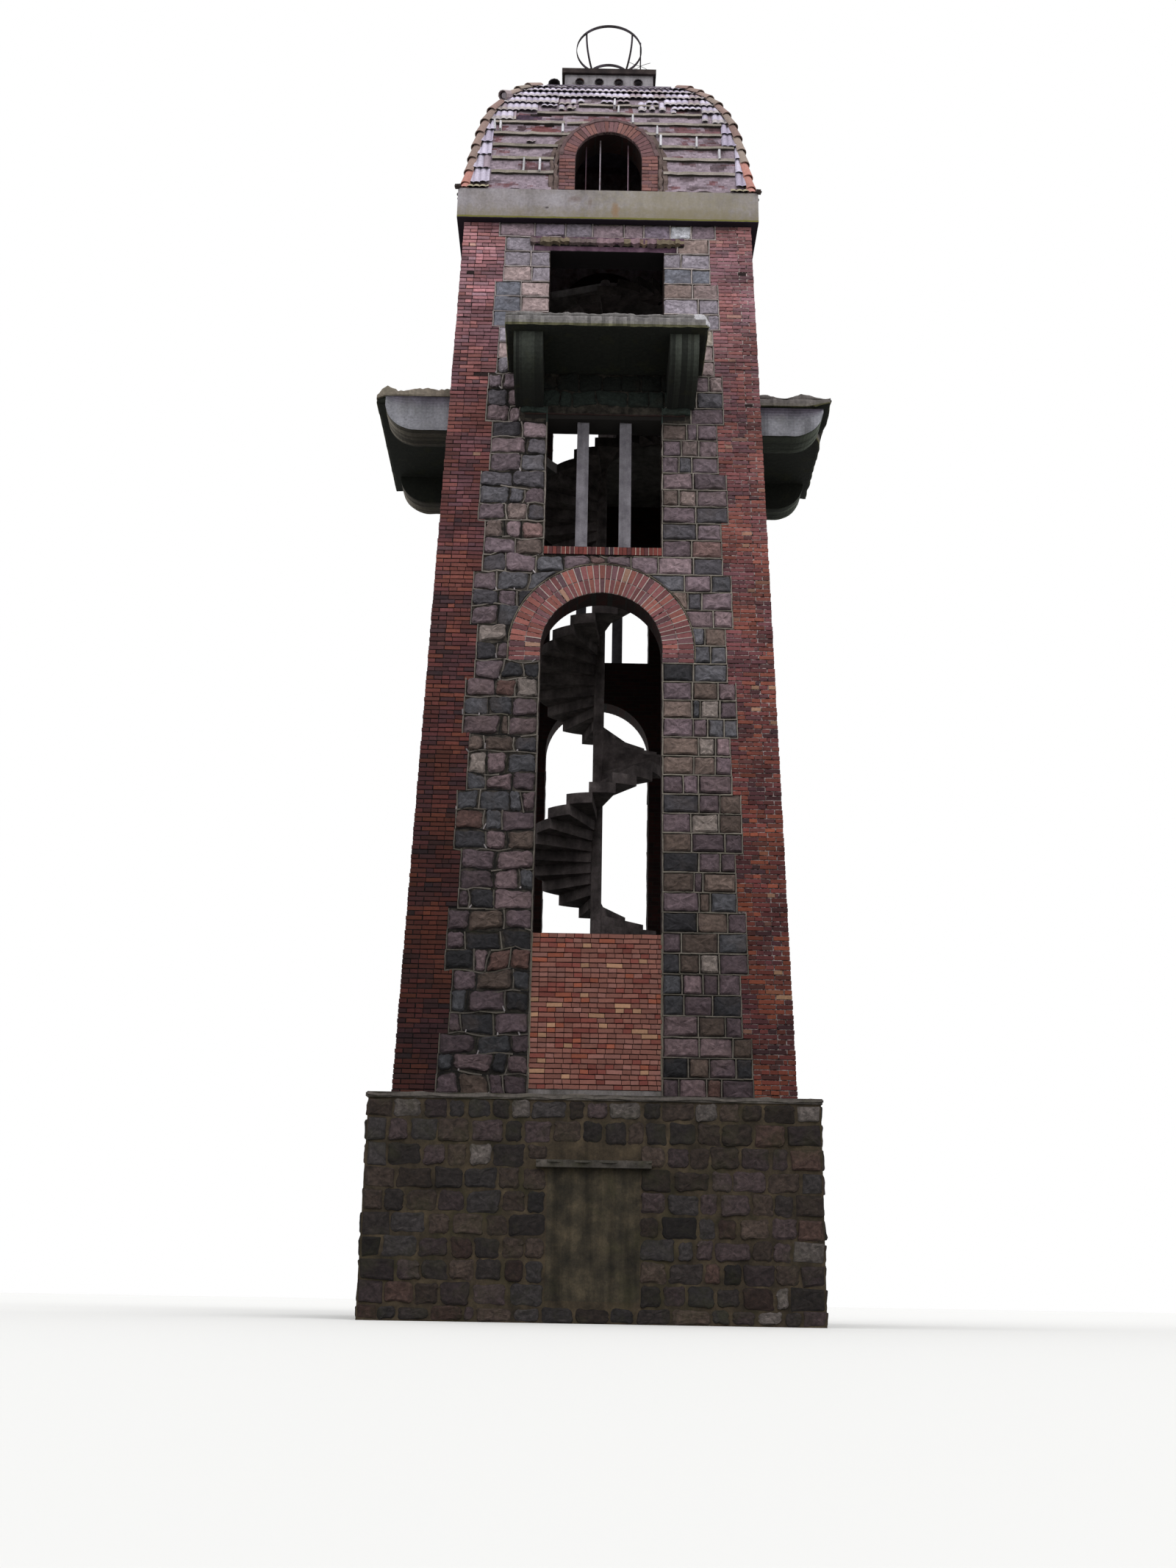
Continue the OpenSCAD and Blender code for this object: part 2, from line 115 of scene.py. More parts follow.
def tooth_number(z):
    if z < PLINTH_TOP + FIRST_TOOTH:
        return 0
    return 1 + int((z - PLINTH_TOP - FIRST_TOOTH) / TOOTH)


def pier_width(z):
    return PIER_NARROW if tooth_number(z) % 2 == 0 else PIER_WIDE


def turned(side, x, y, z):
    """A point of the front, turned to another side."""
    for _ in range(side):
        x, y = -y, x
    return (x, y, z)


def on_shaft(side):
    """Puts (u along the wall, n outward, z) on a face of the leaning shaft."""
    return lambda u, n, z: turned(side, u, -half(z) - n, z)


def on_plinth(side):
    return lambda u, n, z: turned(side, u, -PLINTH_HALF - n, z)


def moved_out(place, by):
    """The same face, moved outward."""
    return lambda u, n, z: place(u, n + by, z)


def steps_of(start, end, count):
    return [start + (end - start) * k / count for k in range(count + 1)]


def arc(radius, centre_z, start, end, count):
    return [(radius * cos(a), centre_z + radius * sin(a)) for a in steps_of(start, end, count)]


def spanned(sign, a, b):
    """Two distances from the middle as a span of u, on the side that the sign says."""
    return sorted((sign * a, sign * b))


# Colours, written as they look on a screen


def linear(c):
    return c / 12.92 if c <= 0.04045 else ((c + 0.055) / 1.055) ** 2.4


def colour(r, g, b):
    return (linear(r / 255), linear(g / 255), linear(b / 255))


def mixed(a, b, t):
    return tuple(x + (y - x) * t for x, y in zip(a, b))


def scaled(c, k):
    return tuple(x * k for x in c)


def between(stops, t):
    """The value at t on a line through stops of (t, value)."""
    for (t0, v0), (t1, v1) in zip(stops, stops[1:]):
        if t <= t1:
            return v0 + (v1 - v0) * max(0.0, t - t0) / (t1 - t0)
    return stops[-1][1]


def climb(z):
    """0 at the shaft's foot and 1 at its top."""
    return min(1.0, max(0.0, (z - PLINTH_TOP) / (SHAFT_TOP - PLINTH_TOP)))


# Meshes


def wave(*at):
    """Smooth noise from -1 to 1 at a point of (x, y, z)."""
    return noise.noise(Vector(at))


def in_scene(name, data):
    thing = bpy.data.objects.new(name, data)
    bpy.context.scene.collection.objects.link(thing)
    return thing


class Pile:
    """Many small solids that become one mesh, each face with a tint."""

    def __init__(self):
        self.points = []
        self.faces = []
        self.tints = []

    def add(self, points, faces, tint):
        """Adds a closed solid. The tint is one colour, or a list with one for each face."""
        start = len(self.points)
        self.points.extend(points)
        tints = tint if isinstance(tint, list) else [tint] * len(faces)
        for face, shade in zip(faces, tints):
            self.faces.append([start + i for i in face])
            self.tints.append(shade)

    def make(self, name, material, slot, side=None):
        """Makes the mesh, rides it on the tower and names it, with its side where it has one."""
        name = name if side is None else f"{name}_{SIDE_NAMES[side]}"
        mesh = bpy.data.meshes.new(name)
        mesh.from_pydata(self.points, [], self.faces)
        layer = mesh.attributes.new("tint", "FLOAT_COLOR", "CORNER")
        values = []
        for face, tint in zip(self.faces, self.tints):
            values.extend((*tint, 1.0) * len(face))
        layer.data.foreach_set("color", values)
        build = bmesh.new()
        build.from_mesh(mesh)
        bmesh.ops.recalc_face_normals(build, faces=build.faces)
        build.to_mesh(mesh)
        build.free()
        mesh.update()
        mesh.materials.append(material)
        piece = in_scene(name, mesh)
        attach(piece, "root")
        return piece


# Faces of a block set in a wall: its front, two rings of four sides and its back
FRONT_FACES = [(0, 1, 2, 3)]
FRONT_FACES += [(r + 4 + i, r + 4 + (i + 1) % 4, r + (i + 1) % 4, r + i) for r in (0, 4) for i in range(4)]
FRONT_FACES += [(11, 10, 9, 8)]


def sunk(place, front, corners, proud, chamfer, depth):
    """Points of a block in a face: its front, the edge behind the chamfer, and its back in the wall."""
    rings = ((front, proud), (corners, proud - chamfer), (corners, -depth))
    return [place(u, n, z) for ring, n in rings for u, z in ring]


def facing_block(pile, place, corners, proud, depth, chamfer, tint):
    """A block set in a face: its front is chamfered and its back is in the wall. Corners run counter-clockwise."""
    cx = sum(c[0] for c in corners) / 4
    cz = sum(c[1] for c in corners) / 4
    inner = []
    for u, z in corners:
        du, dz = cx - u, cz - z
        inner.append((u + copysign(chamfer, du), z + copysign(chamfer, dz)))
    pile.add(sunk(place, inner, corners, proud, chamfer, depth), FRONT_FACES, tint)


def corner_block(pile, side, u0, d1, z0, z1, proud, chamfer, tint):
    """A brick at the shaft's corner that shows on two faces: along the front from u0, and round it by d1."""
    edge = half((z0 + z1) / 2) + proud
    points = []
    ends = [((low, 1), (high, -1)) for low, high in ((u0, edge), (-edge, -edge + d1), (z0, z1))]
    for (x, sx), (y, sy), (z, sz) in product(*ends):
        cut_x, cut_y, cut_z = x + sx * chamfer, y + sy * chamfer, z + sz * chamfer
        points += [turned(side, *p) for p in ((x, cut_y, cut_z), (cut_x, y, cut_z), (cut_x, cut_y, z))]
    pile.add(points, BEVELLED_FACES, tint)


def bevelled_faces():
    """Faces of a box whose eight corners hold three points each: moved in along y and z, x and z, x and y."""

    def at(ix, iy, iz, k):
        return (ix * 4 + iy * 2 + iz) * 3 + k

    square = [(0, 0), (1, 0), (1, 1), (0, 1)]
    faces = []
    for i, order in ((0, square[::-1]), (1, square)):
        faces.append([at(i, a, b, 0) for a, b in order])
        faces.append([at(b, i, a, 1) for a, b in order])
        faces.append([at(a, b, i, 2) for a, b in order])
    for a, b in product((0, 1), repeat=2):
        turn = 1 if (a + b) % 2 == 0 else -1
        for quad in (
            [at(0, a, b, 1), at(1, a, b, 1), at(1, a, b, 2), at(0, a, b, 2)],
            [at(b, 0, a, 2), at(b, 1, a, 2), at(b, 1, a, 0), at(b, 0, a, 0)],
            [at(a, b, 0, 0), at(a, b, 1, 0), at(a, b, 1, 1), at(a, b, 0, 1)],
        ):
            faces.append(quad[::turn])
        for c in (0, 1):
            faces.append([at(a, b, c, k) for k in range(3)][:: turn if c == 0 else -turn])
    return faces


BEVELLED_FACES = bevelled_faces()


def tube_faces(count, rings):
    """Faces between rings of points that follow one another."""
    return [
        (a + i, a + (i + 1) % count, a + count + (i + 1) % count, a + count + i)
        for a in range(0, (rings - 1) * count, count)
        for i in range(count)
    ]


def bar_faces(count, rings):
    """Faces of a closed bar: round its length, then its two ends."""
    last = (rings - 1) * count
    return [*tube_faces(count, rings), tuple(range(count - 1, -1, -1)), tuple(range(last, last + count))]


def dome_faces(count, rings):
    """Faces from the outer ring of points to a middle point, and the back."""
    last, middle = (rings - 1) * count, rings * count
    tip = [(last + i, last + (i + 1) % count, middle) for i in range(count)]
    return [*tube_faces(count, rings), *tip, tuple(range(count - 1, -1, -1))]


def clipped(polygon, nu, nz, limit):
    """The part of a convex polygon where nu * u + nz * z is at least the limit."""
    kept = []
    for i, a in enumerate(polygon):
        b = polygon[(i + 1) % len(polygon)]
        da = nu * a[0] + nz * a[1] - limit
        db = nu * b[0] + nz * b[1] - limit
        if da >= 0:
            kept.append(a)
        if da * db < 0:
            t = da / (da - db)
            kept.append((a[0] + (b[0] - a[0]) * t, a[1] + (b[1] - a[1]) * t))
    return kept


def area_of(polygon):
    return sum(a[0] * b[1] - b[0] * a[1] for a, b in zip(polygon, polygon[1:] + polygon[:1])) / 2


STONE_STEP = 0.075
MORTAR_BASE = -0.02


def rough_edge(polygon, rng, wear):
    """The outline of a stone: its corners are knocked off and its edges wander inward."""
    points = []
    corners = [Vector(q) for q in polygon]
    for before, here, after in zip(corners[-1:] + corners, corners, corners[1:] + corners[:1]):
        knock = rng.uniform(0.5, 1.5) * wear * 2.2
        ways = [other - here for other in (before, after)]
        cut = [here + way * min(knock / max(way.length, 1e-6), 0.35) for way in ways]
        points += [cut[0], (cut[0] + cut[1] + here) / 3, cut[1]]
        steps = int((after - here).length / STONE_STEP)
        along = (after - here).normalized()
        inward = Vector((-along.y, along.x))
        for k in range(1, steps):
            t = k / steps
            if 0.22 < t < 0.78:
                points.append(here.lerp(after, t) + inward * rng.uniform(-0.2, 0.8) * wear)
    return [tuple(q) for q in points]


# A stone's rings of points inside its edge: how far they shrink, how high they stand, and how bright they are
# painted, darker toward the edge as painted shade and dirt
STONE_RINGS = ((0.94, 0.5, 0.62), (0.78, 0.95, 0.9), (0.52, 1.0, 1.05), (0.25, 1.05, 1.08))


def stone(pile, place, polygon, rng, proud, wear, tint, dirt_and_shade=1.0):
    """A rock-faced stone in a wall's face, from its outline in (u, z). Its edges are painted darker, as shade and
    dirt.
    """
    if area_of(polygon) < 0.004:
        return
    edge = rough_edge(polygon, rng, wear)
    count = len(edge)
    cu = sum(q[0] for q in edge) / count
    cz = sum(q[1] for q in edge) / count
    lean_u, lean_z = rng.uniform(-0.09, 0.09), rng.uniform(-0.12, 0.12)
    seed = Vector([rng.uniform(0, 50) for _ in range(3)])

    def relief(u, z, amount):
        bump = noise.noise(seed + Vector((u * 7, z * 7, 0))) + 0.6 * noise.noise(seed + Vector((u * 19, z * 19, 3)))
        return amount + (u - cu) * lean_u + (z - cz) * lean_z + bump * (0.5 * proud + 0.008)

    points = [place(u, n, z) for n in (-0.03, 0.002) for u, z in edge]
    for shrink, lift, _ in STONE_RINGS:
        for u, z in edge:
            su, sz = cu + (u - cu) * shrink, cz + (z - cz) * shrink
            points.append(place(su, max(0.004, relief(su, sz, proud * lift)), sz))
    points.append(place(cu, max(0.008, relief(cu, cz, proud)), cz))
    faces = dome_faces(count, 2 + len(STONE_RINGS))
    shade_and_dirt_levels = [1 - (1 - c) * dirt_and_shade for c in (0.5, *(ring[2] for ring in STONE_RINGS))]
    levels = [shade_and_dirt_levels[min(i // count, len(shade_and_dirt_levels) - 1)] for i in range(len(faces))]
    pile.add(points, faces, [scaled(tint, level * rng.uniform(0.76, 1.26)) for level in levels])


def strip(pile, place, path, width, proud, rng, tint, wander=0.0):
    """Mortar, a batten or a crust laid along a path of (u, z) on a face."""
    if len(path) < 2:
        return
    points = []
    for i, (u, z) in enumerate(path):
        u0, z0 = path[max(i - 1, 0)]
        u1, z1 = path[min(i + 1, len(path) - 1)]
        along = Vector((u1 - u0, z1 - z0)).normalized()
        du, dz = -along.y, along.x
        shift = rng.uniform(-wander, wander)
        wide, high = (size * (1 + (rng.uniform(-k, k) if wander else 0)) for size, k in ((width, 0.3), (proud, 0.35)))
        wide /= 2
        for off, n in ((-wide, MORTAR_BASE), (-wide * 0.55, high), (wide * 0.55, high), (wide, MORTAR_BASE)):
            points.append(place(u + du * (off + shift), n, z + dz * (off + shift)))
    faces = bar_faces(4, len(path))
    pile.add(points, faces, [scaled(tint, rng.uniform(0.86, 1.14)) for _ in faces])


def stepped(u0, z0, u1, z1, step=0.13):
    """A straight path in short steps."""
    count = max(1, round(hypot(u1 - u0, z1 - z0) / step))
    return [(u0 + (u1 - u0) * k / count, z0 + (z1 - z0) * k / count) for k in range(count + 1)]


def weathered_box(pile, lo, hi, step, wear, tint, turn=tuple, bite=None):
    """A box whose faces are uneven and whose edges are chipped inward. The tint can depend on the face."""
    lo, hi = Vector(lo), Vector(hi)
    counts = [max(1, round((hi[i] - lo[i]) / step)) for i in range(3)]
    index, points, faces, tints = {}, [], [], []

    def spot(key):
        return Vector([lo[i] + (hi[i] - lo[i]) * key[i] / counts[i] for i in range(3)])

    def vertex(key):
        if key not in index:
            index[key] = len(points)
            p = spot(key)
            moved = p.copy()
            sides = [(key[i] == counts[i]) - (key[i] == 0) for i in range(3)]
            on_face = sides.count(0) == 2
            for i in range(3):
                worn = 0.5 + 0.5 * noise.noise(p * 5.3 + Vector((i * 9.1, 0, 0)))
                fine = 0.5 + 0.5 * noise.noise(p * 17 + Vector((0, i * 7.3, 0)))
                moved[i] -= sides[i] * wear * (0.25 * fine if on_face else 0.3 + worn * worn * 2.4 + 0.5 * fine)
            points.append(tuple(turn(bite(moved) if bite else moved)))
        return index[key]

    for axis in range(3):
        a, b = (axis + 1) % 3, (axis + 2) % 3

        def key(end, i, j, axis=axis, a=a, b=b):
            steps = [0, 0, 0]
            steps[axis], steps[a], steps[b] = end, i, j
            return tuple(steps)

        for end, i, j in product((0, counts[axis]), range(counts[a]), range(counts[b])):
            faces.append([vertex(key(end, i + di, j + dj)) for di, dj in ((0, 0), (1, 0), (1, 1), (0, 1))])
            shade = tint(axis, 1 if end else -1, spot(key(end, i + 0.5, j + 0.5))) if callable(tint) else tint
            tints.append(shade)
    pile.add(points, faces, tints)


def rod(pile, path, radius, tint, sides=8):
    """A round bar or wire along a path of points."""
    points = []
    for before, p, after in zip(path[:1] + path, path, path[1:] + path[-1:]):
        along = (Vector(after) - Vector(before)).normalized()
        other = UP if abs(along.z) < 0.9 else Vector((1, 0, 0))
        x = along.cross(other).normalized()
        y = along.cross(x)
        turns = [2 * pi * k / sides for k in range(sides)]
        points += [tuple(Vector(p) + radius * (cos(a) * x + sin(a) * y)) for a in turns]
    pile.add(points, bar_faces(sides, len(path)), tint)


# Materials


class Tree:
    """Short calls that add shader nodes to a material or to the world."""

    def __init__(self, owner):
        owner.use_nodes = True
        self.owner, self.nodes, self.links = owner, owner.node_tree.nodes, owner.node_tree.links

    def put(self, socket, value):
        """Sets a socket to a number or a colour, or links it to another node's output."""
        if isinstance(value, bpy.types.NodeSocket):
            self.links.new(value, socket)
        else:
            socket.default_value = (*value, 1.0) if socket.type == "RGBA" else value

    def add(self, kind, inputs, out=0, **settings):
        node = self.nodes.new("ShaderNode" + kind)
        for key, value in settings.items():
            setattr(node, key, value)
        for key, value in inputs.items():
            self.put(node.inputs[key], value)
        return node.outputs[out]

    def coordinates(self):
        return self.add("TexCoord", {}, "Object")

    def parts(self):
        """The object's x, y and z at a point."""
        return self.add("SeparateXYZ", {0: self.coordinates()}).node.outputs

    def noise(self, scale, detail=4.0, rough=0.55, stretch=None):
        """Noise over the object's own coordinates, drawn out along an axis where stretch says so."""
        at = self.coordinates()
        if stretch:
            at = self.add("Mapping", {"Vector": at, "Scale": stretch})
        return self.add("TexNoise", {"Scale": scale, "Detail": detail, "Roughness": rough, "Vector": at}, "Fac")

    def ramp(self, value, *stops):
        """A value turned into a grey or a colour by stops of (value, shade)."""
        out = self.add("ValToRGB", {"Fac": value}, "Color")
        elements = out.node.color_ramp.elements
        while len(elements) < len(stops):
            elements.new(0.5)
        for element, (at, shade) in zip(elements, stops):
            element.position = at
            element.color = (*(shade if isinstance(shade, tuple) else (shade,) * 3), 1.0)
        return out

    def mix(self, factor, a, b, kind="MIX"):
        return self.add("Mix", {0: factor, 6: a, 7: b}, 2, data_type="RGBA", blend_type=kind)

    def multiply(self, a, b):
        return self.mix(1.0, a, b, "MULTIPLY")

    def math(self, kind, *values):
        return self.add("Math", dict(enumerate(values)), operation=kind)

    def finish(self, shade, rough, specular, height, strength, distance=0.01):
        """The material, with its colour, roughness, gloss and bumps."""
        bump = self.add("Bump", {"Strength": strength, "Distance": distance, "Height": height})
        looks = {"Base Color": shade, "Roughness": rough, "Specular IOR Level": specular, "Normal": bump}
        for key, value in looks.items():
            self.put(self.nodes["Principled BSDF"].inputs[key], value)
        return self.owner


def new_tree(name):
    return Tree(bpy.data.materials.new(name))


def block_material(name, grain, low, high, patch, bump=0.4, rough=0.9):
    """A material for bricks, stones or tiles whose colour is the piece's tint, with grain and patches of dirt."""
    t = new_tree(name)
    dirt, scale, start, end, amount = patch
    tint = t.add("Attribute", {}, "Color", attribute_name="tint")
    shade = t.multiply(tint, t.ramp(t.noise(grain, 5.0, 0.65), (0.3, low), (0.7, high)))
    shade = t.mix(t.ramp(t.noise(scale, 6.0, 0.6), (start, 0.0), (end, amount)), shade, dirt)
    return t.finish(shade, rough, 0.25, t.noise(grain * 1.6, 6.0, 0.7), bump)


def weathered_material(name, shades, streaks=0.35, moss=None, bump=0.35, scale=3.0, bands=(), stains=()):
    """Concrete, cement or mortar: mottled in three shades as they look on a screen (base, dark and light), streaked
    downward and pitted. Bands tint it above or below a height. Stains, as (x, z, half width, half height, colour,
    amount), lie on the front.
    """
    t = new_tree(name)
    base, dark, light = (colour(*shade) for shade in shades)
    shade = t.ramp(t.noise(scale, 8.0, 0.65), (0.32, dark), (0.5, base), (0.7, light))
    shade = t.multiply(shade, t.ramp(t.noise(scale * 14, 5.0, 0.7), (0.3, 0.78), (0.7, 1.12)))
    shade = t.multiply(shade, t.ramp(t.noise(2.2, 5.0, 0.6, (3.0, 3.0, 0.22)), (0.42, 1.0), (0.66, 1.0 - streaks)))
    if moss:
        moss_colour, low, high, amount = moss
        shade = t.mix(t.ramp(t.noise(1.7, 7.0, 0.65), (low, 0.0), (high, amount)), shade, moss_colour)
    for at_x, at_z, half_x, half_z, stain, amount in stains:
        x, y, z = t.parts()
        squares = [
            t.math("POWER", t.math("ABSOLUTE", t.math("DIVIDE", t.math("SUBTRACT", part, at), size)), 2.0)
            for part, at, size in ((x, at_x, half_x), (z, at_z, half_z))
        ]
        far = t.math("ADD", t.math("ADD", *squares), t.math("MULTIPLY", t.noise(9.0), 0.9))
        on_front = t.math("LESS_THAN", y, 0.0)
        shade = t.mix(t.math("MULTIPLY", t.ramp(far, (0.45, amount), (1.0, 0.0)), on_front), shade, stain)
    if bands:
        ragged = t.math("MULTIPLY", t.noise(6.0, 3.0), 0.03)
        level = t.math("ADD", t.math("SUBTRACT", t.parts()[2], 0.015), ragged)
        for side_of, z, band_colour in bands:
            shade = t.mix(t.math(side_of, level, z), shade, band_colour)
    return t.finish(shade, 0.92, 0.2, t.noise(scale * 11, 8.0, 0.7), bump, 0.012)


def inner_brick_material(name, outer, dark, spots, levels):
    """A wall piece: mortar on its outer face, paler in spots and darker low down, and brickwork inside that is
    painted very dark as the shade there.
    """
    t = new_tree(name)
    x, y, z = t.parts()
    # Distance from the outer face: the larger of |x| and |y| against the leaning face
    far = t.math("MAXIMUM", t.math("ABSOLUTE", x), t.math("ABSOLUTE", y))
    face = t.math("SUBTRACT", SHAFT_FOOT_HALF + BATTER * PLINTH_TOP, t.math("MULTIPLY", z, BATTER))
    outside = t.math("LESS_THAN", t.math("SUBTRACT", face, far), 0.006)
    # Inside the wall the bricks are painted very dark, as the shade inside
    # The wall's run: x plus y changes along both kinds of wall and round the jambs
    courses = t.add("TexBrick", {
        "Scale": 1.0, "Brick Width": BRICK_LONG, "Row Height": BRICK_COURSE, "Mortar Size": 0.006,
        "Color1": scaled(RED_BRICK, 0.13), "Color2": scaled(DARK_BRICK, 0.1), "Mortar": scaled(GREY_MORTAR, 0.1),
        "Vector": t.add("CombineXYZ", {0: t.math("ADD", x, y), 1: z}),
    }, "Color")
    inner = t.multiply(courses, t.ramp(t.noise(9.0, 6.0, 0.6), (0.3, 0.55), (0.7, 1.1)))
    scale, low, high = spots
    share = t.math("DIVIDE", t.math("SUBTRACT", z, PLINTH_TOP), SHAFT_TOP - PLINTH_TOP)
    most = max(level for _, level in levels)
    # Darker toward the foot by the levels, partly as painted shade of the trees and partly as damp
    dirt_and_shade = t.ramp(share, *((at, level / most) for at, level in levels))
    pointing = t.multiply(t.ramp(t.noise(scale, 5.0, 0.65), (low, colour(*dark)), (high, colour(*outer))), dirt_and_shade)
    return t.finish(t.mix(outside, inner, pointing), 0.93, 0.2, t.noise(55.0, 6.0, 0.7), 0.4)


# The colours of the photograph's main surfaces
RED_BRICK = colour(124, 61, 54)
DARK_BRICK = colour(90, 52, 52)
ORANGE_BRICK = colour(150, 80, 58)
PURPLE_BRICK = colour(104, 58, 66)
BURNT_BRICK = colour(62, 44, 48)
PINK_BRICK = colour(142, 98, 90)
PALE_BRICK = colour(180, 140, 110)
LILAC_BRICK = colour(150, 118, 128)
NEW_BRICK = colour(132, 86, 76)
GREY_MORTAR = colour(112, 106, 98)
BUFF_MORTAR = colour(120, 112, 98)
PURPLE_STONE = colour(98, 82, 88)
GREY_STONE = colour(76, 76, 81)
BROWN_STONE = colour(100, 84, 76)
PINK_STONE = colour(120, 100, 104)
BEIGE_STONE = colour(142, 130, 124)
DARK_STONE = colour(50, 49, 53)
RED_STONE = colour(104, 76, 70)
LILAC_STONE = colour(152, 142, 152)
CONCRETE = colour(112, 107, 106)
# Painted shade for the undersides of slabs and brackets and the faces under and between them
SOFFIT_SHADE = colour(30, 32, 27)
TILE_PALE = colour(216, 207, 228)
TILE_GREY = colour(188, 178, 200)
TILE_BEIGE = colour(178, 170, 156)
TILE_RED = colour(160, 112, 110)
LILAC_MORTAR = colour(164, 148, 160)
WHITE_PAINT = colour(206, 204, 210)
IRON = colour(56, 50, 54)
# Black for painted shade in open joints and gaps, and for the painted shadow under the drip course
SHADE_BLACK = colour(16, 14, 14)
MOSS = colour(84, 84, 52)

# Brightness by the share of the climb, darker toward the foot, partly as painted shade of the trees and partly as
# damp; and how lilac the weathered masonry turns
LEFT_BRICK_LEVEL = ((0, 0.17), (0.25, 0.28), (0.5, 0.54), (0.77, 0.84), (0.88, 1.52), (1, 1.66))
RIGHT_BRICK_LEVEL = ((0, 0.4), (0.25, 0.58), (0.5, 0.86), (0.77, 0.88), (0.88, 1.12), (1, 1.18))
BRICK_LILAC = ((0, 0.0), (0.2, 0.02), (0.57, 0.2), (0.77, 0.33), (0.88, 0.5), (1, 0.55))
LEFT_STONE_LEVEL = ((0, 0.38), (0.26, 0.54), (0.5, 0.82), (0.67, 1.2), (0.8, 1.22), (0.87, 1.58), (1, 1.66))
RIGHT_STONE_LEVEL = (
    (0, 0.43), (0.16, 0.54), (0.37, 0.92), (0.5, 1.1), (0.67, 0.98), (0.82, 1.06), (0.87, 1.7), (1, 1.8),
)
STONE_LILAC = ((0, 0.0), (0.5, 0.1), (0.78, 0.25), (0.87, 0.55), (1, 0.6))

brick_material = block_material(
    "brick", 26.0, 0.76, 1.12, (scaled(DARK_BRICK, 0.5), 1.5, 0.5, 0.76, 0.5), 0.5
)
new_brick_material = block_material("new_brick", 30.0, 0.86, 1.08, (PALE_BRICK, 2.4, 0.6, 0.8, 0.3), 0.45)
stone_material = block_material(
    "granite", 16.0, 0.6, 1.3, (scaled(BROWN_STONE, 0.6), 2.0, 0.52, 0.78, 0.4), 0.8
)
plinth_stone_material = block_material(
    "plinth_stone", 14.0, 0.45, 1.5, (scaled(MOSS, 0.35), 1.8, 0.5, 0.74, 0.5), 0.8
)
tile_material = block_material("clay_tile", 26.0, 0.76, 1.12, (colour(104, 96, 98), 3.0, 0.58, 0.8, 0.35), 0.4, 0.85)
wood_material = block_material("old_wood", 34.0, 0.7, 1.14, (scaled(MOSS, 0.8), 1.6, 0.56, 0.76, 0.4), 0.6)
skin_material = block_material("bare_roof", 22.0, 0.7, 1.16, (colour(92, 78, 80), 3.0, 0.56, 0.78, 0.4), 0.8)
crust_material = block_material("crust", 20.0, 0.66, 1.16, (scaled(MOSS, 0.7), 2.5, 0.54, 0.76, 0.3), 0.6)
iron_material = block_material("iron", 40.0, 0.7, 1.2, (colour(96, 58, 42), 6.0, 0.5, 0.7, 0.6), 0.5, 0.7)


def dress(names, material):
    """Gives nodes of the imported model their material."""
    for name in names:
        nodes[name].data.materials.clear()
        nodes[name].data.materials.append(material)


# The slabs, floors and strips keep this one, and the others change below
dress(nodes, weathered_material(
    "concrete", ((112, 107, 106), (86, 82, 82), (132, 126, 128)), 0.35, (scaled(MOSS, 0.8), 0.56, 0.76, 0.35),
))
dress(["fire_basket"], weathered_material("basket_iron", ((56, 50, 54), (36, 32, 34), (84, 76, 88)), 0.2))
dress(["plinth_cap", "plinth_door_ledge"], weathered_material(
    "cement", ((74, 69, 65), (48, 45, 41), (102, 95, 90)), 0.3, (scaled(MOSS, 0.5), 0.5, 0.7, 0.5), 0.6,
))
dress(["cornice"], weathered_material(
    "cornice", ((158, 151, 154), (138, 131, 128), (172, 166, 172)), 0.22, (colour(138, 126, 96), 0.58, 0.74, 0.4),
    0.3, 1.6,
    # A line of moss at the foot, and below it the underside painted in shade
    (("LESS_THAN", SHAFT_TOP + 0.05, colour(118, 114, 62)), ("LESS_THAN", SHAFT_TOP + 0.015, colour(44, 36, 46))),
    (
        (1.3, 19.4, 2.6, 1.6, colour(154, 145, 122), 0.6), (0, SHAFT_TOP, 9.0, 0.42, colour(128, 118, 92), 0.55),
        (0.14, 19.25, 0.12, 0.3, colour(148, 108, 66), 0.55), (-0.6, 19.5, 0.2, 0.12, colour(112, 92, 84), 0.6),
        (-0.33, 19.42, 0.06, 0.2, colour(112, 96, 90), 0.5), (-1.12, 19.3, 0.06, 0.04, colour(70, 62, 66), 0.9),
    ),
))
dress(["window_frames"], weathered_material(
    "mullion", ((124, 120, 127), (100, 96, 104), (142, 138, 146)), 0.3,
    # The lintel above the middle window is painted dark as the shade under the balcony
    bands=(("GREATER_THAN", MID_TOP - 0.012, colour(38, 35, 34)),),
))
dress(["vent_block"], weathered_material("vent_plaster", ((156, 151, 156), (108, 102, 102), (174, 170, 175)), 0.35))
dress(["crown_slab"], weathered_material("crown_plaster", ((124, 114, 130), (92, 84, 96), (146, 136, 150)), 0.3))
dress(["cap_slab"], weathered_material("cap_felt", ((54, 46, 46), (34, 29, 32), (78, 68, 66)), 0.2))
dress(
    [name for name in nodes if name == "newel" or name.startswith("stair")],
    weathered_material("stair_concrete", ((92, 84, 84), (60, 54, 55), (124, 114, 114)), 0.3),
)
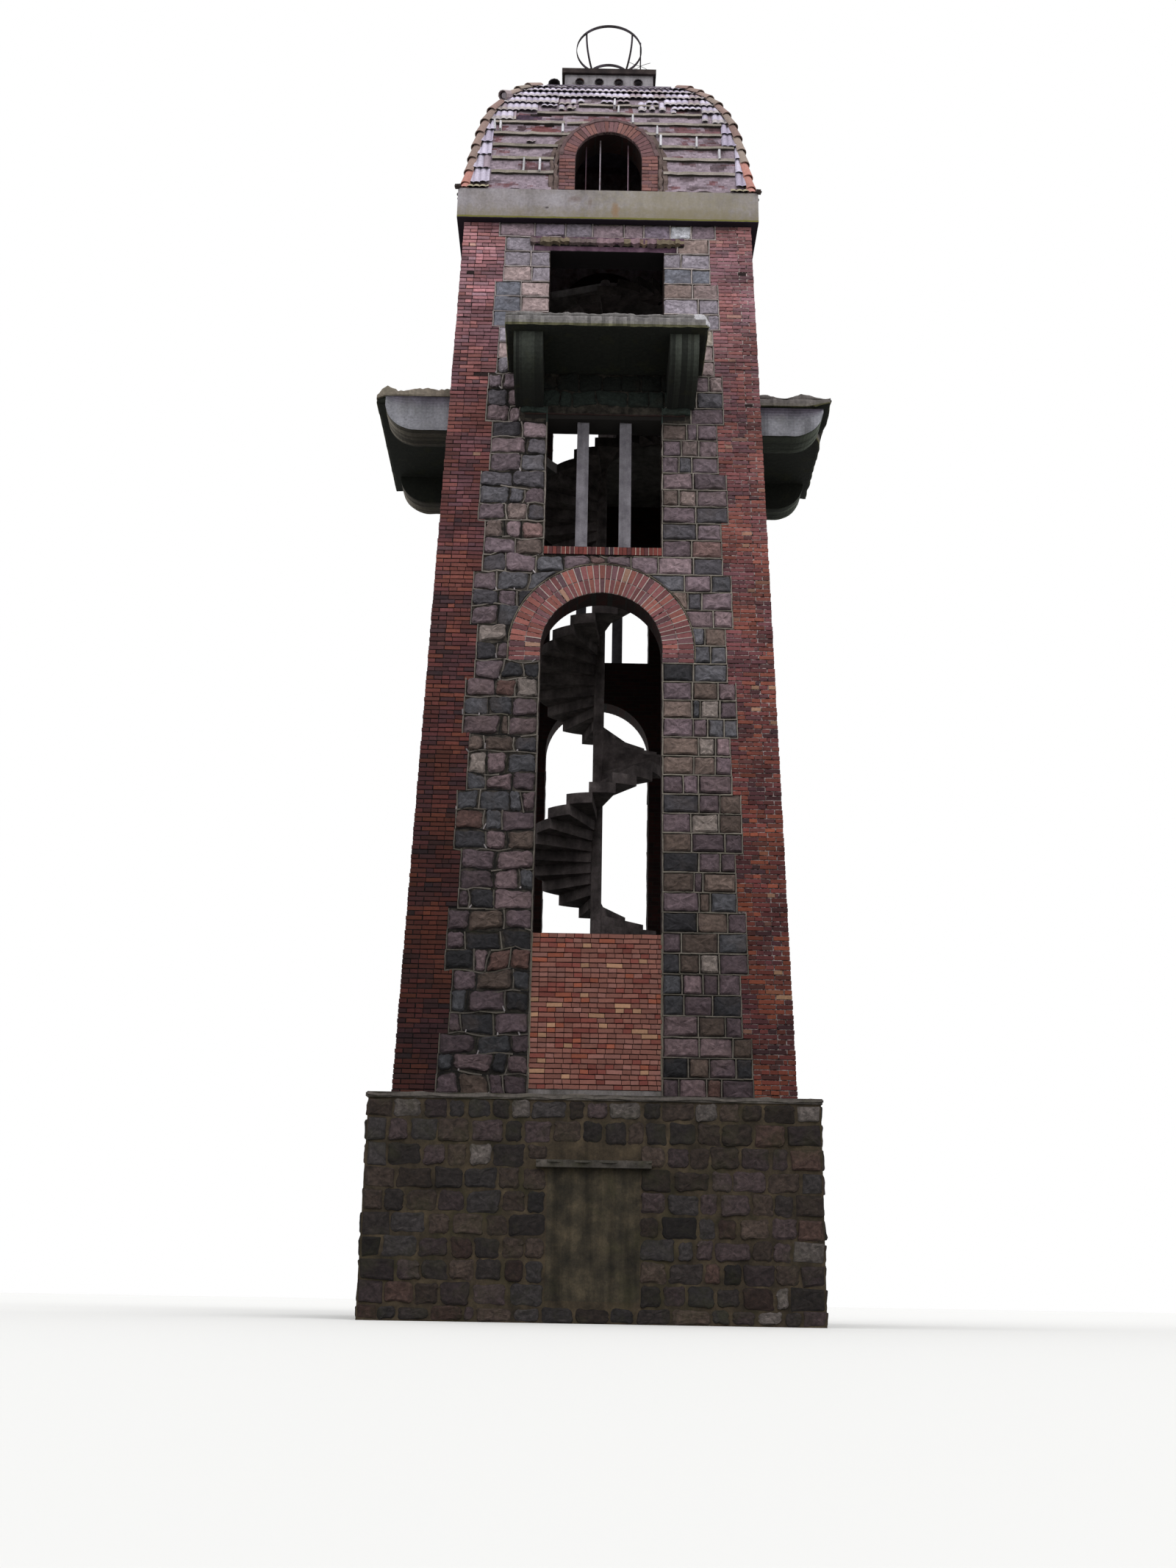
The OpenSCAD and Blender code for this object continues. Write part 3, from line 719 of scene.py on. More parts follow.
# Darkened partly as painted shade of the trees
dress(["plinth_door_fill"], weathered_material(
    "render", ((60, 54, 44), (36, 33, 28), (88, 78, 62)), 0.45, (scaled(MOSS, 0.5), 0.54, 0.74, 0.4), 0.5,
))
dress(["pier_front_right", "pier_back_right", "arch_rings"], inner_brick_material(
    "brick_core_pale", (214, 196, 194), (52, 38, 38), (15.0, 0.42, 0.62), RIGHT_BRICK_LEVEL
))
dress(["pier_front_left", "pier_back_left", "window_sills"], inner_brick_material(
    "brick_core_dark", (128, 108, 106), (26, 20, 20), (16.0, 0.5, 0.8), LEFT_BRICK_LEVEL
))
dress(["arch_fills"], inner_brick_material(
    "fill_core", (150, 122, 114), (92, 70, 64), (6.0, 0.36, 0.6), ((0, 0.8), (1, 0.8))
))
dress([name for name in nodes if "_stone_" in name], inner_brick_material(
    "wall_core", (112, 104, 96), (44, 40, 37), (8.0, 0.4, 0.7), RIGHT_STONE_LEVEL
))
# Darkened partly as painted shade of the trees
dress(["plinth"], weathered_material(
    "plinth_mortar", ((64, 55, 44), (38, 33, 27), (86, 74, 58)), 0.3, (scaled(MOSS, 0.3), 0.5, 0.72, 0.6),
))
dress(["roof_vault"], weathered_material(
    "roof_masonry", ((150, 134, 142), (112, 84, 84), (170, 156, 166)), 0.3,
    (colour(112, 70, 68), 0.52, 0.64, 0.7), 0.8, 5.0,
))
dress(["roof_window_rings"], inner_brick_material(
    "ring_mortar", (146, 122, 124), (72, 54, 56), (15.0, 0.4, 0.62), ((0, 1), (1, 1))
))
dress(["door_lintels"], weathered_material(
    "rusty_lintel", ((96, 70, 88), (58, 42, 54), (132, 106, 122)), 0.3,
    # The lintel's underside is painted dark as shade
    bands=(("LESS_THAN", DOOR_TOP + 0.012, colour(22, 18, 20)),),
))


# Brick corners


BRICK_PALETTE = (RED_BRICK, DARK_BRICK, ORANGE_BRICK, BURNT_BRICK, PALE_BRICK)


def brick_tint(rng, weights, level, lilac, drift=0.0):
    """A brick's colour by weight. Neighbours drift to orange or to purple together."""
    shade = rng.choices(BRICK_PALETTE, weights)[0]
    shade = mixed(shade, ORANGE_BRICK if drift > 0 else PURPLE_BRICK, min(0.75, abs(drift) * 1.7))
    return scaled(mixed(shade, LILAC_BRICK, lilac), rng.uniform(0.7, 1.26) * level)


def brick_row(start, end, rng, stretchers):
    """Spans of one course between two ends: a course of long sides or one of short ends, with slips."""
    spans = []
    at = start
    while end - at > 0.03:
        size = (BRICK_LONG if stretchers != (rng.random() < 0.25) else BRICK_SHORT + 0.006) * rng.uniform(0.88, 1.1)
        if end - at - size < 0.05:
            size = end - at
        spans.append((at, min(at + size, end)))
        at += size
    return spans


def face_brick(pile, place, u0, u1, z0, z1, rng, tint):
    gap = JOINT / 2
    slip = rng.uniform(-0.003, 0.003)
    left, right = u0 + UPRIGHT_JOINT, u1 - UPRIGHT_JOINT
    low, high = z0 + gap, z1 - gap
    corners = [(left, low + slip), (right, low - slip), (right, high - slip), (left, high + slip)]
    facing_block(pile, place, corners, BRICK_PROUD + rng.uniform(-0.006, 0.006), 0.03, 0.004, tint)


def hole(pile, place, u0, u1, z0, z1, rng):
    """A block painted dark as the shade in a hollow where a brick or a bit of stone is lost."""
    corners = [(u0, z0), (u1, z0 + rng.uniform(-0.01, 0.01)), (u1, z1), (u0, z1 + rng.uniform(-0.01, 0.01))]
    facing_block(pile, place, corners, 0.003, 0.03, 0.002, colour(34, 24, 24))


# Bricks that are lost on the front of the two front piers, as (u, z)
LOST_BRICKS = ((-2.46, 17.92), (-2.22, 15.78), (2.5, 15.28), (2.52, 13.97))
# Bed joints that have opened there, as (sign of u, z), drawn as dark strips of painted shade
OPEN_JOINTS = ((1, 16.15), (1, 15.99), (-1, 15.47), (-1, 17.0), (1, 13.4))


def brick_corner(side, name, weights, missing, levels):
    """The brickwork of the pier to the right of a side, with the first brick of each course round the corner."""
    rng = random.Random(name)
    pile = Pile()
    next_side = (side + 1) % 4
    near, far = on_shaft(side), on_shaft(next_side)
    count = round((SHAFT_TOP - PLINTH_TOP) / BRICK_COURSE)
    course = (SHAFT_TOP - PLINTH_TOP) / count
    for i in range(count):
        z0 = PLINTH_TOP + i * course
        z1 = z0 + course
        middle = (z0 + z1) / 2
        edge = half(middle)
        width = pier_width(middle)
        level, lilac = between(levels, climb(middle)), between(BRICK_LILAC, climb(middle))

        def shade(u, level=level, lilac=lilac, middle=middle):
            drift = wave(u * 2.1 + side * 7, middle * 1.3, side * 3.0)
            damp = 1 + 0.7 * wave(u * 1.3, middle * 2.2, side * 5.0 + 9)
            return brick_tint(rng, weights, level * damp, lilac, drift)

        a, b = (BRICK_LONG, BRICK_SHORT) if i % 2 == 0 else (BRICK_SHORT, BRICK_LONG)
        if rng.random() > missing * 0.6:
            corner_block(
                pile, side, edge - a + JOINT, b, z0 + JOINT / 2, z1 - JOINT / 2, 0.009 + rng.uniform(-0.005, 0.005),
                0.004, shade(edge),
            )
        for face, place, start, end, stretchers in (
            (side, near, edge - width, edge - a, i % 2 == 0),
            (next_side, far, -edge + b, -edge + width, i % 2 == 1),
        ):
            for u0, u1 in brick_row(start, end, rng, stretchers):
                mu = (u0 + u1) / 2
                here = [q for q in LOST_BRICKS if abs(mu - q[0]) < 0.09 and abs(middle - q[1]) < course / 2]
                if rng.random() < missing or (here and face == FRONT):
                    hole(pile, place, u0 + 0.005, u1 - 0.005, z0 + 0.004, z1 - 0.004, rng)
                else:
                    face_brick(pile, place, u0, u1, z0, z1, rng, shade(u0))
    for sign, z in OPEN_JOINTS:
        at, line = (side, near) if sign > 0 else (next_side, far)
        if at == FRONT:
            a, b = spanned(sign, half(z) - pier_width(z) + 0.03, half(z) - 0.02)
            strip(pile, line, stepped(a, z, b, z, 0.12), 0.016, 0.012, rng, SHADE_BLACK, 0.004)
    pile.make(name, brick_material, "brick")


brick_corner(FRONT, "bricks_front_right", (5, 2.4, 2.4, 0.7, 0.25), 0.0015, RIGHT_BRICK_LEVEL)
brick_corner(RIGHT, "bricks_back_right", (5, 3, 2.2, 0.8, 0.1), 0.0015, RIGHT_BRICK_LEVEL)
brick_corner(BACK, "bricks_back_left", (5, 3, 2.2, 0.8, 0.1), 0.0015, RIGHT_BRICK_LEVEL)
brick_corner(LEFT, "bricks_front_left", (6, 3.0, 1.4, 0.9, 0.05), 0.002, LEFT_BRICK_LEVEL)


# Granite between the openings


# The cleaner stones beside the door and over it
HIGH_STONES = (
    colour(158, 148, 138), colour(150, 132, 132), colour(106, 107, 117), colour(124, 126, 126), colour(142, 134, 144),
    colour(142, 124, 120),
)
HIGH_WEIGHTS = (1.8, 2.6, 1.3, 1.4, 2.4, 2.2)
STONE_PALETTE = (PURPLE_STONE, GREY_STONE, BROWN_STONE, PINK_STONE, BEIGE_STONE, DARK_STONE, RED_STONE)


def stone_tint(rng, z, u):
    """A stone's colour: paler and more lilac high up, darker low down, partly as painted shade of the trees."""
    t = climb(z)
    high = max(0.0, (t - 0.78) / 0.22)
    dark = 0.0 if high > 0.2 else 1.5 if u < 0 else 0.9
    weights = (4.0, 2.6 if u < 0 else 1.6, 1.6, 2.0 + high, 0.3 * min(1.0, t * 2) + high * 2.2, dark, 0.35 + high)
    shade = rng.choices(STONE_PALETTE, weights)[0]
    shade = mixed(shade, LILAC_STONE, between(STONE_LILAC, t) * rng.uniform(0.6, 1.1))
    # Under the balcony, the wall's painted shadow and damp
    if under_balcony(u, z):
        return scaled(shadowed_wet_wall(z), rng.uniform(0.85, 1.15))
    if rng.random() < (z - BALCONY_FOOT + 0.3) / 0.7:
        return scaled(rng.choices(HIGH_STONES, HIGH_WEIGHTS)[0], rng.uniform(0.88, 1.46))
    return scaled(shade, rng.uniform(0.68, 1.34) * between(LEFT_STONE_LEVEL if u < 0 else RIGHT_STONE_LEVEL, t))


def shadowed_wet_wall(z):
    """The damp wall under the balcony, painted dark as the slab's shadow: green-grey at its foot and black under the
    slab.
    """
    return mixed(colour(62, 72, 68), colour(20, 23, 20), min(1.0, max(0.0, (z - MID_LINTEL_TOP - 0.1) / 0.35)))


def under_balcony(u, z):
    return MID_LINTEL_TOP - 0.02 < z < BALCONY_FOOT and abs(u) < 1.3


def stone_courses():
    """Levels of the granite's bed joints, three courses to a tooth."""
    levels = [PLINTH_TOP]
    z = PLINTH_TOP
    tooth_top = PLINTH_TOP + FIRST_TOOTH
    while tooth_top <= SHAFT_TOP + 0.01:
        step = (tooth_top - z) / COURSES_PER_TOOTH
        levels += [z + step * (k + 1) for k in range(COURSES_PER_TOOTH)]
        z, tooth_top = tooth_top, tooth_top + TOOTH
    if SHAFT_TOP - levels[-1] > 0.05:
        levels.append(SHAFT_TOP)
    return levels


def blocked(z0, z1):
    """Openings that a course runs into, as spans of u."""
    openings = (
        (-1, ARCH_SPRING, ARCH_HALF), (SILL_FOOT + 0.02, MID_TOP - 0.02, MID_HALF),
        (BALCONY_TOP + 0.02, DOOR_TOP - 0.02, DOOR_HALF),
    )
    return [(-size, size) for low, high, size in openings if z1 > low and z0 < high]


def split_run(start, end, rng, low, high):
    """Stones along a course."""
    widths = []
    left = end - start
    while left > high:
        width = rng.uniform(low, high)
        if left - width < low * 0.6:
            width = left / 2
        widths.append(width)
        left -= width
    widths.append(left)
    rng.shuffle(widths)
    spans = []
    at = start
    for width in widths:
        spans.append((at, at + width))
        at += width
    return spans


def without(spans, start, end):
    """A run less the blocked spans."""
    free = [(start, end)]
    for b0, b1 in spans:
        free = [
            piece
            for f0, f1 in free
            for piece in ((f0, min(f1, b0)), (max(f0, b1), f1))
            if piece[1] - piece[0] > 0.04
        ]
    return free


STONE_JOINT = 0.03
RING_OUT = ARCH_HALF + RING
RING_CLEAR = RING_OUT + 0.02


def ring_span(z):
    """Half the width that the arch ring takes at a height."""
    if z < RING_FOOT or z > ARCH_SPRING + RING_CLEAR:
        return 0.0
    if z < ARCH_SPRING:
        return RING_CLEAR
    return sqrt(RING_CLEAR**2 - (z - ARCH_SPRING) ** 2)


def taken_at(z):
    """Spans of u where no bed joint runs at a height."""
    pieces = (
        (MID_TOP - 0.01, MID_LINTEL_TOP + 0.01, MID_LINTEL_HALF),
        (DOOR_TOP - 0.01, DRIP_TOP + 0.01, DRIP_HALF + 0.01),
        (-1, ARCH_SPRING, ARCH_HALF), (SILL_FOOT - 0.01, MID_TOP, MID_HALF), (BALCONY_TOP, DOOR_TOP, DOOR_HALF),
    )
    halves = [ring_span(z), *(size for low, high, size in pieces if low < z < high)]
    return [(-size, size) for size in halves if size > 0]


def clear_of_pieces(poly, mu, middle, z0, z1):
    """Cuts a stone to the ring, the lintels, the drip course and the sill beside it."""
    gap = STONE_JOINT / 2
    if z1 > RING_FOOT and z0 < ARCH_SPRING + RING_OUT:
        if middle < ARCH_SPRING:
            if z1 > RING_FOOT + 0.02 and abs(mu) < RING_OUT + 0.4:
                poly = clipped(poly, 1 if mu > 0 else -1, 0, RING_OUT + gap)
        else:
            du, dz = mu, middle - ARCH_SPRING
            span = hypot(du, dz)
            du, dz = du / span, dz / span
            poly = clipped(poly, du, dz, RING_OUT + gap + dz * ARCH_SPRING)
    if z0 < MID_LINTEL_TOP and z1 > MID_TOP and abs(mu) < MID_LINTEL_HALF:
        if middle > (MID_TOP + MID_LINTEL_TOP) / 2:
            poly = clipped(poly, 0, 1, MID_LINTEL_TOP + 0.005)
        else:
            poly = clipped(poly, 0, -1, -MID_TOP + 0.005)
    if z0 < DRIP_TOP and z1 > DOOR_TOP and abs(mu) < DRIP_HALF + 0.05:
        if middle > (DOOR_TOP + DRIP_TOP) / 2:
            poly = clipped(poly, 0, 1, DRIP_TOP + 0.006)
        elif abs(mu) > DOOR_HALF:
            poly = clipped(poly, 1 if mu > 0 else -1, 0, LINTEL_HALF + 0.01)
    if z0 < SILL_TOP and z1 > SILL_FOOT and abs(mu) < MID_HALF:
        poly = clipped(poly, 0, -1, -SILL_FOOT + 0.008)
    return poly


def mortar_tint(rng, z, u):
    # Under the balcony, the wall's painted shadow and damp
    if under_balcony(u, z):
        return scaled(shadowed_wet_wall(z), rng.uniform(0.85, 1.1))
    pale = colour(140, 132, 122) if u > 0 else colour(128, 120, 112)
    level = between(LEFT_STONE_LEVEL if u < 0 else RIGHT_STONE_LEVEL, climb(z))
    return scaled(mixed(pale, LILAC_STONE, between(STONE_LILAC, climb(z)) * 0.6), rng.uniform(0.7, 1.15) * level)


def warped(point, ends):
    """Shifts a point of the irregular stonework on the left. The ends of its run stay where they are."""
    u, z = point
    fade = min(1.0, max(0.0, min(u - ends[0], ends[1] - u)) / 0.16)
    at = Vector((u * 2.7, z * 2.7, 11.0))
    return u + 0.08 * fade * noise.noise(at), z + 0.09 * fade * noise.noise(at + Vector((9, 9, 9)))


def joint(pile, place, path, rng, ragged, z, u):
    """Pointing in a joint, or a strip painted dark as the shade in the gap that is left where it has fallen out."""
    if under_balcony(u, z):
        return
    if ragged and rng.random() < 0.42:
        strip(pile, place, path, 0.034, 0.004, rng, SHADE_BLACK, 0.005)
    elif ragged:
        strip(pile, place, path, 0.036, rng.uniform(0.008, 0.022), rng, mortar_tint(rng, z, u), 0.008)
        if rng.random() < 0.24:
            a, b = path[0]
            splash = [(a, b), (a + rng.uniform(-0.05, 0.05), b + rng.uniform(0.03, 0.1))]
            pale = scaled(colour(196, 186, 190), rng.uniform(0.6, 1.0) * (0.55 if z < ARCH_SPRING else 1))
            strip(pile, place, splash, 0.035, 0.02, rng, pale, 0.01)
    else:
        strip(pile, place, path, 0.028, 0.022, rng, mortar_tint(rng, z, u), 0.004)


TOP_STONE, PALE_STONE = colour(128, 112, 130), colour(196, 196, 204)
PALE_STONE_AT = 1.4


def rectangle(u0, u1, z0, z1):
    return [(u0, z0), (u1, z0), (u1, z1), (u0, z1)]


def granite_stone(stones, place, rng, side, run, u0, u1, z0, z1):
    """One stone of a course's run, cut to the pieces that it meets."""
    middle, mu = (z0 + z1) / 2, (u0 + u1) / 2
    flush, hidden = middle > BALCONY_TOP, under_balcony(mu, middle)
    ragged = u0 < 0 and not flush
    wear = 0.027 if ragged else 0.013
    left, right = (0.004 if hidden or abs(abs(u) - DOOR_HALF) < 0.01 else STONE_JOINT / 2 for u in (u0, u1))
    bed = 0.002 if hidden else STONE_JOINT / 2
    loose = wear * (0.2 if hidden else 1.0)
    poly = rectangle(u0 + left, u1 - right, z0 + bed, z1 - bed)
    poly = [(u + rng.uniform(-1, 1) * loose * 0.9, z + rng.uniform(-1, 1) * loose) for u, z in poly]
    if ragged:
        poly = [warped(q, run) for q in poly]
    poly = clear_of_pieces(poly, mu, middle, z0, z1)
    if len(poly) < 3:
        return
    proud = rng.uniform(0.008, 0.02) if flush else rng.uniform(0.024, 0.05)
    tint = stone_tint(rng, middle, mu)
    if z1 >= SHAFT_TOP - 0.01:
        tint = PALE_STONE if side == FRONT and u0 < PALE_STONE_AT < u1 else mixed(tint, TOP_STONE, 0.6)
    if abs(z1 - RING_FOOT) < 0.25 and ARCH_HALF < abs(mu) < RING_OUT:
        tint = scaled(DARK_STONE, 0.75)
    # How far the stone's edges are painted darker as shade and dirt, little on the flush stones high up
    dirt_and_shade = 0.3 if flush else 1.15 - 0.6 * max(0.0, climb(middle) * 2 - 1)
    stone(stones, place, poly, rng, proud, wear, tint, dirt_and_shade)


def upright_joint(pointing, place, rng, run, u, z0, z1, ragged):
    """The joint at a stone's right end, down to the next stone or to the ring."""
    middle = (z0 + z1) / 2
    if u < run[1] - 0.01 and (abs(u) > ring_span(middle) or middle < RING_FOOT):
        low = z0 + 0.01
        if abs(u) < RING_CLEAR and middle > ARCH_SPRING:
            low = max(low, ARCH_SPRING + sqrt(RING_CLEAR**2 - u**2))
        if z1 - low > 0.06:
            path = stepped(u, low, u, z1 - 0.01)
            path = [warped(q, run) for q in path] if ragged else path
            joint(pointing, place, path, rng, ragged, middle, u)


def bed_joint(pointing, place, rng, run, z):
    """The joint under a course's run, in lengths."""
    at, end = run
    while end - at > 0.05:
        stop = min(end, at + rng.uniform(0.25, 0.6))
        if end - stop < 0.1:
            stop = end
        if z > PLINTH_TOP + 0.05:
            ragged = at < 0 and z < BALCONY_TOP
            path = stepped(at, z, stop, z)
            path = [warped(q, run) for q in path] if ragged else path
            joint(pointing, place, path, rng, ragged, z, (at + stop) / 2)
        at = stop


def granite(side):
    """The rock-faced stones of one side and the pointing between them."""
    rng = random.Random(f"granite {side}")
    stones, pointing = Pile(), Pile()
    place = on_shaft(side)
    levels = stone_courses()
    for z0, z1 in zip(levels, levels[1:]):
        middle = (z0 + z1) / 2
        reach = half(middle) - pier_width(middle)
        flush = middle > BALCONY_TOP
        for run in without(blocked(z0, z1), -reach, reach):
            for u0, u1 in split_run(*run, rng, *((0.34, 0.66) if flush else (0.22, 0.6))):
                granite_stone(stones, place, rng, side, run, u0, u1, z0, z1)
                upright_joint(pointing, place, rng, run, u1, z0, z1, u0 < 0 and not flush)
            # Pointing at the run's ends, against brick or an opening
            for u, inward in zip(run, (0.008, -0.008)):
                if abs(u) > ring_span(middle) + 0.02 and abs(abs(u) - DOOR_HALF) > 0.01:
                    path = stepped(u + inward, z0, u + inward, z1)
                    strip(pointing, place, path, 0.028, 0.014, rng, mortar_tint(rng, middle, u), 0.005)
        for run in without(taken_at(z0), -reach, reach):
            bed_joint(pointing, place, rng, run, z0)
    # The pale line round the arch ring
    line = [(RING_CLEAR, RING_FOOT), *arc(RING_CLEAR, ARCH_SPRING, 0, pi, 40), (-RING_CLEAR, RING_FOOT)]
    strip(pointing, place, line, 0.022, 0.012, rng, scaled(BUFF_MORTAR, 1.05), 0.003)
    stones.make("granite", stone_material, "granite", side)
    pointing.make("pointing", crust_material, "granite", side)


for side in SIDES:
    granite(side)


# Plinth

PLINTH_BEDS = (0.0, 0.22, 0.54, 0.86, 1.17, 1.49, 1.82, 2.14, 2.48, 2.83)
PLINTH_GAP = 0.017
PANEL_LEFT, PANEL_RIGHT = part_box("plinth_door_fill")[0].x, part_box("plinth_door_fill")[1].x
PANEL_FOOT, PANEL_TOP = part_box("plinth_door_fill")[0].z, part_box("plinth_door_fill")[1].z
LEDGE_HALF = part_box("plinth_door_ledge")[1].x
LEDGE_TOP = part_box("plinth_door_ledge")[1].z


def plinth_tint(rng, z, u):
    """A plinth stone's colour, darkened partly as painted shade of the trees. Some of the top course and of the lower
    right corner are pale.
    """
    palette = (DARK_STONE, PURPLE_STONE, GREY_STONE, BROWN_STONE, RED_STONE)
    shade = rng.choices(palette, (2.2, 3.2, 1.6, 2.6, 1.0))[0]
    if rng.random() < (0.3 if z > 2.7 else 0.4 if u > 2.2 and z < 0.5 else 0.03):
        return scaled(colour(134, 124, 120), rng.uniform(0.24, 0.46))
    return scaled(mixed(shade, BROWN_STONE, 0.35), rng.uniform(0.11, 0.41))


def plinth_stones(side):
    rng = random.Random(f"plinth {side}")
    stones, crust = Pile(), Pile()
    place = on_plinth(side)
    beds = (*PLINTH_BEDS, PLINTH_STONE_TOP)
    edge = PLINTH_HALF - 0.004
    for z0, z1 in zip(beds, beds[1:]):
        taken = []
        if side == FRONT and z0 < PANEL_TOP and z1 > PANEL_FOOT + 0.05:
            taken = [(PANEL_LEFT, PANEL_RIGHT)]
        for f0, f1 in without(taken, -PLINTH_HALF, PLINTH_HALF):
            for u0, u1 in split_run(f0, f1, rng, 0.26, 0.56):
                poly = rectangle(u0 + PLINTH_GAP, u1 - PLINTH_GAP, z0 + PLINTH_GAP, z1 - PLINTH_GAP)
                poly = [(u + rng.uniform(-0.022, 0.022), z + rng.uniform(-0.024, 0.024)) for u, z in poly]
                poly = [(max(-edge, min(edge, u)), max(z, 0.004)) for u, z in poly]
                corner = max(-u0, u1) > PLINTH_HALF - 0.01
                on_panel = side == FRONT and abs((u0 + u1) / 2) < LEDGE_HALF
                if on_panel and z0 < LEDGE_TOP < z1:
                    poly = clipped(poly, 0, 1, LEDGE_TOP + 0.01)
                if on_panel and z0 < PANEL_FOOT < z1:
                    poly = clipped(poly, 0, -1, -PANEL_FOOT + 0.01)
                if len(poly) > 2:
                    stone(
                        stones, place, poly, rng, rng.uniform(0.012, 0.03), 0.008 if corner else 0.026,
                        plinth_tint(rng, z0, u0), 0.75,
                    )
    # Cement crumbling over the edge of the cap
    lip = stepped(-PLINTH_HALF - 0.01, PLINTH_TOP - 0.035, PLINTH_HALF + 0.01, PLINTH_TOP - 0.035, 0.16)
    strip(crust, place, lip, 0.075, 0.034, rng, colour(92, 86, 82), 0.014)
    if side == FRONT:
        ledge = stepped(-LEDGE_HALF, LEDGE_TOP - 0.02, LEDGE_HALF, LEDGE_TOP - 0.02, 0.12)
        strip(crust, place, ledge, 0.05, 0.115, rng, colour(70, 66, 60), 0.006)
    stones.make("plinth_stones", plinth_stone_material, "plinth_stone", side)
    crust.make("plinth_crust", crust_material, "cement", side)


for side in SIDES:
    plinth_stones(side)


# Brick rings, fillings and sills


RING_BRICKS, LEG_COURSES, FILL_COURSES, SILL_BRICKS = 43, 3, 31, 27


def ring_bricks(pile, place, rng, inner, outer, spring, count, shade_of, mortar_of=None):
    """Bricks laid on end round a half circle, from its right foot to its left, and pointing between them."""
    step = pi / count
    for i in range(count):
        a0, a1 = i * step, (i + 1) * step
        gap0, gap1 = 0.0065 / inner, 0.0065 / outer
        skew = rng.uniform(-0.003, 0.003)
        low, high = inner + 0.004, outer - 0.008
        corners = ((low, a0 + gap0), (high, a0 + gap1), (high, a1 - gap1), (low, a1 - gap0))
        corners = [(r * cos(a + skew), spring + r * sin(a + skew)) for r, a in corners]
        middle = (sum(c[0] for c in corners) / 4, sum(c[1] for c in corners) / 4)
        proud = 0.008 + rng.uniform(-0.003, 0.004)
        front = [mixed(c, middle, 0.035) for c in corners]
        pile.add(sunk(place, front, corners, proud, 0.004, 0.03), FRONT_FACES, shade_of(rng))
        pointing = mortar_of(a0, rng) if mortar_of and i else None
        if pointing:
            c, d = cos(a0), sin(a0)
            path = [(inner * c, spring + inner * d), (outer * c, spring + outer * d)]
            strip(pile, place, path, 0.026, 0.012, rng, pointing)


def arch_brick_tint(rng):
    return brick_tint(rng, (5, 2, 2.2, 0.4, 0.3), 0.95, 0.3)


def arch_mortar(angle, rng):
    """Pale pointing at the crown and down the right side of the ring, little of it at the left."""
    turn = degrees(angle)
    share = 0.85 if turn < 30 else 0.75 if turn < 60 else 0.95 if turn < 118 else 0.25
    return scaled(colour(184, 170, 164), rng.uniform(0.7, 1.08)) if rng.random() < share else None


def fill_tint(rng):
    palette = (NEW_BRICK, ORANGE_BRICK, PALE_BRICK, RED_BRICK, PINK_BRICK)
    return scaled(mixed(rng.choices(palette, (6, 0.8, 0.6, 1.8, 2.4))[0], PINK_BRICK, 0.2), rng.uniform(0.62, 0.98))


def arch_work(side):
    """The ring, the filling and the sill of one side."""
    rng = random.Random(f"arch {side}")
    place = on_shaft(side)
    ring = Pile()
    middle = ARCH_HALF + RING / 2
    for inner, outer in ((ARCH_HALF, middle), (middle, RING_OUT)):
        ring_bricks(ring, place, rng, inner, outer, ARCH_SPRING, RING_BRICKS, arch_brick_tint, arch_mortar)
    for k in range(LEG_COURSES):
        z0 = RING_FOOT + k * (ARCH_SPRING - RING_FOOT) / LEG_COURSES
        z1 = z0 + (ARCH_SPRING - RING_FOOT) / LEG_COURSES
        for sign in (-1, 1):
            for u0, u1 in ((ARCH_HALF, middle), (middle, RING_OUT)):
                a, b = spanned(sign, u0, u1)
                face_brick(ring, place, a, b, z0, z1, rng, arch_brick_tint(rng))
    ring.make("arch_bricks", brick_material, "brick", side)

    fill = Pile()
    on_fill = moved_out(place, -FILL_SETBACK)
    step = (FILL_TOP - FILL_FOOT) / FILL_COURSES
    for k in range(FILL_COURSES):
        z0 = FILL_FOOT + k * step
        start = -ARCH_HALF
        while ARCH_HALF - start > 0.02:
            size = BRICK_LONG if rng.random() < 0.16 else BRICK_SHORT + 0.012
            end = start + size if ARCH_HALF - start - size > 0.05 else ARCH_HALF
            face_brick(fill, on_fill, start, end, z0, z0 + step, rng, fill_tint(rng))
            start = end
    for sign in (-1, 1):
        edge = stepped(sign * (ARCH_HALF - 0.008), FILL_FOOT, sign * (ARCH_HALF - 0.008), FILL_TOP)
        strip(fill, on_fill, edge, 0.03, 0.018, rng, scaled(BUFF_MORTAR, 0.9), 0.004)
    fill.make("fill_bricks", new_brick_material, "new_brick", side)

    sill = Pile()
    on_sill = moved_out(place, SILL_PROUD)
    step = 2 * MID_HALF / SILL_BRICKS
    for k in range(SILL_BRICKS):
        u0 = -MID_HALF + k * step
        tint = brick_tint(rng, (6, 3, 0.5, 0.6, 0), 0.9, 0.05)
        face_brick(sill, on_sill, u0, u0 + step, SILL_FOOT, SILL_TOP, rng, tint)
        if k and rng.random() < 0.5:
            path = [(u0, SILL_FOOT + 0.01), (u0, SILL_TOP - 0.005)]
            strip(sill, on_sill, path, 0.018, 0.0095, rng, scaled(colour(190, 176, 164), rng.uniform(0.7, 1.0)))
    sill.make("sill_bricks", brick_material, "brick", side)


for side in SIDES:
    arch_work(side)


# Balconies, with crumbling edges

BALCONY_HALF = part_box("front_balcony")[1].x
BALCONY_REACH = -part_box("front_balcony")[0].y
BRACKET_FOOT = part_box("front_balcony")[0].z
BRACKET_OUTER, BRACKET_INNER = 1.58, 1.06
BRACKET_REACH = half(BALCONY_FOOT) + 1.30
BRACKET_TIP = 0.02
SIDE_BRACKET_FOOT = BALCONY_FOOT - 0.57
FLANK_BACK = 0.035
CRUST_START, CRUST_WIDE = 0.02, 0.16
FLANK = colour(154, 154, 162)
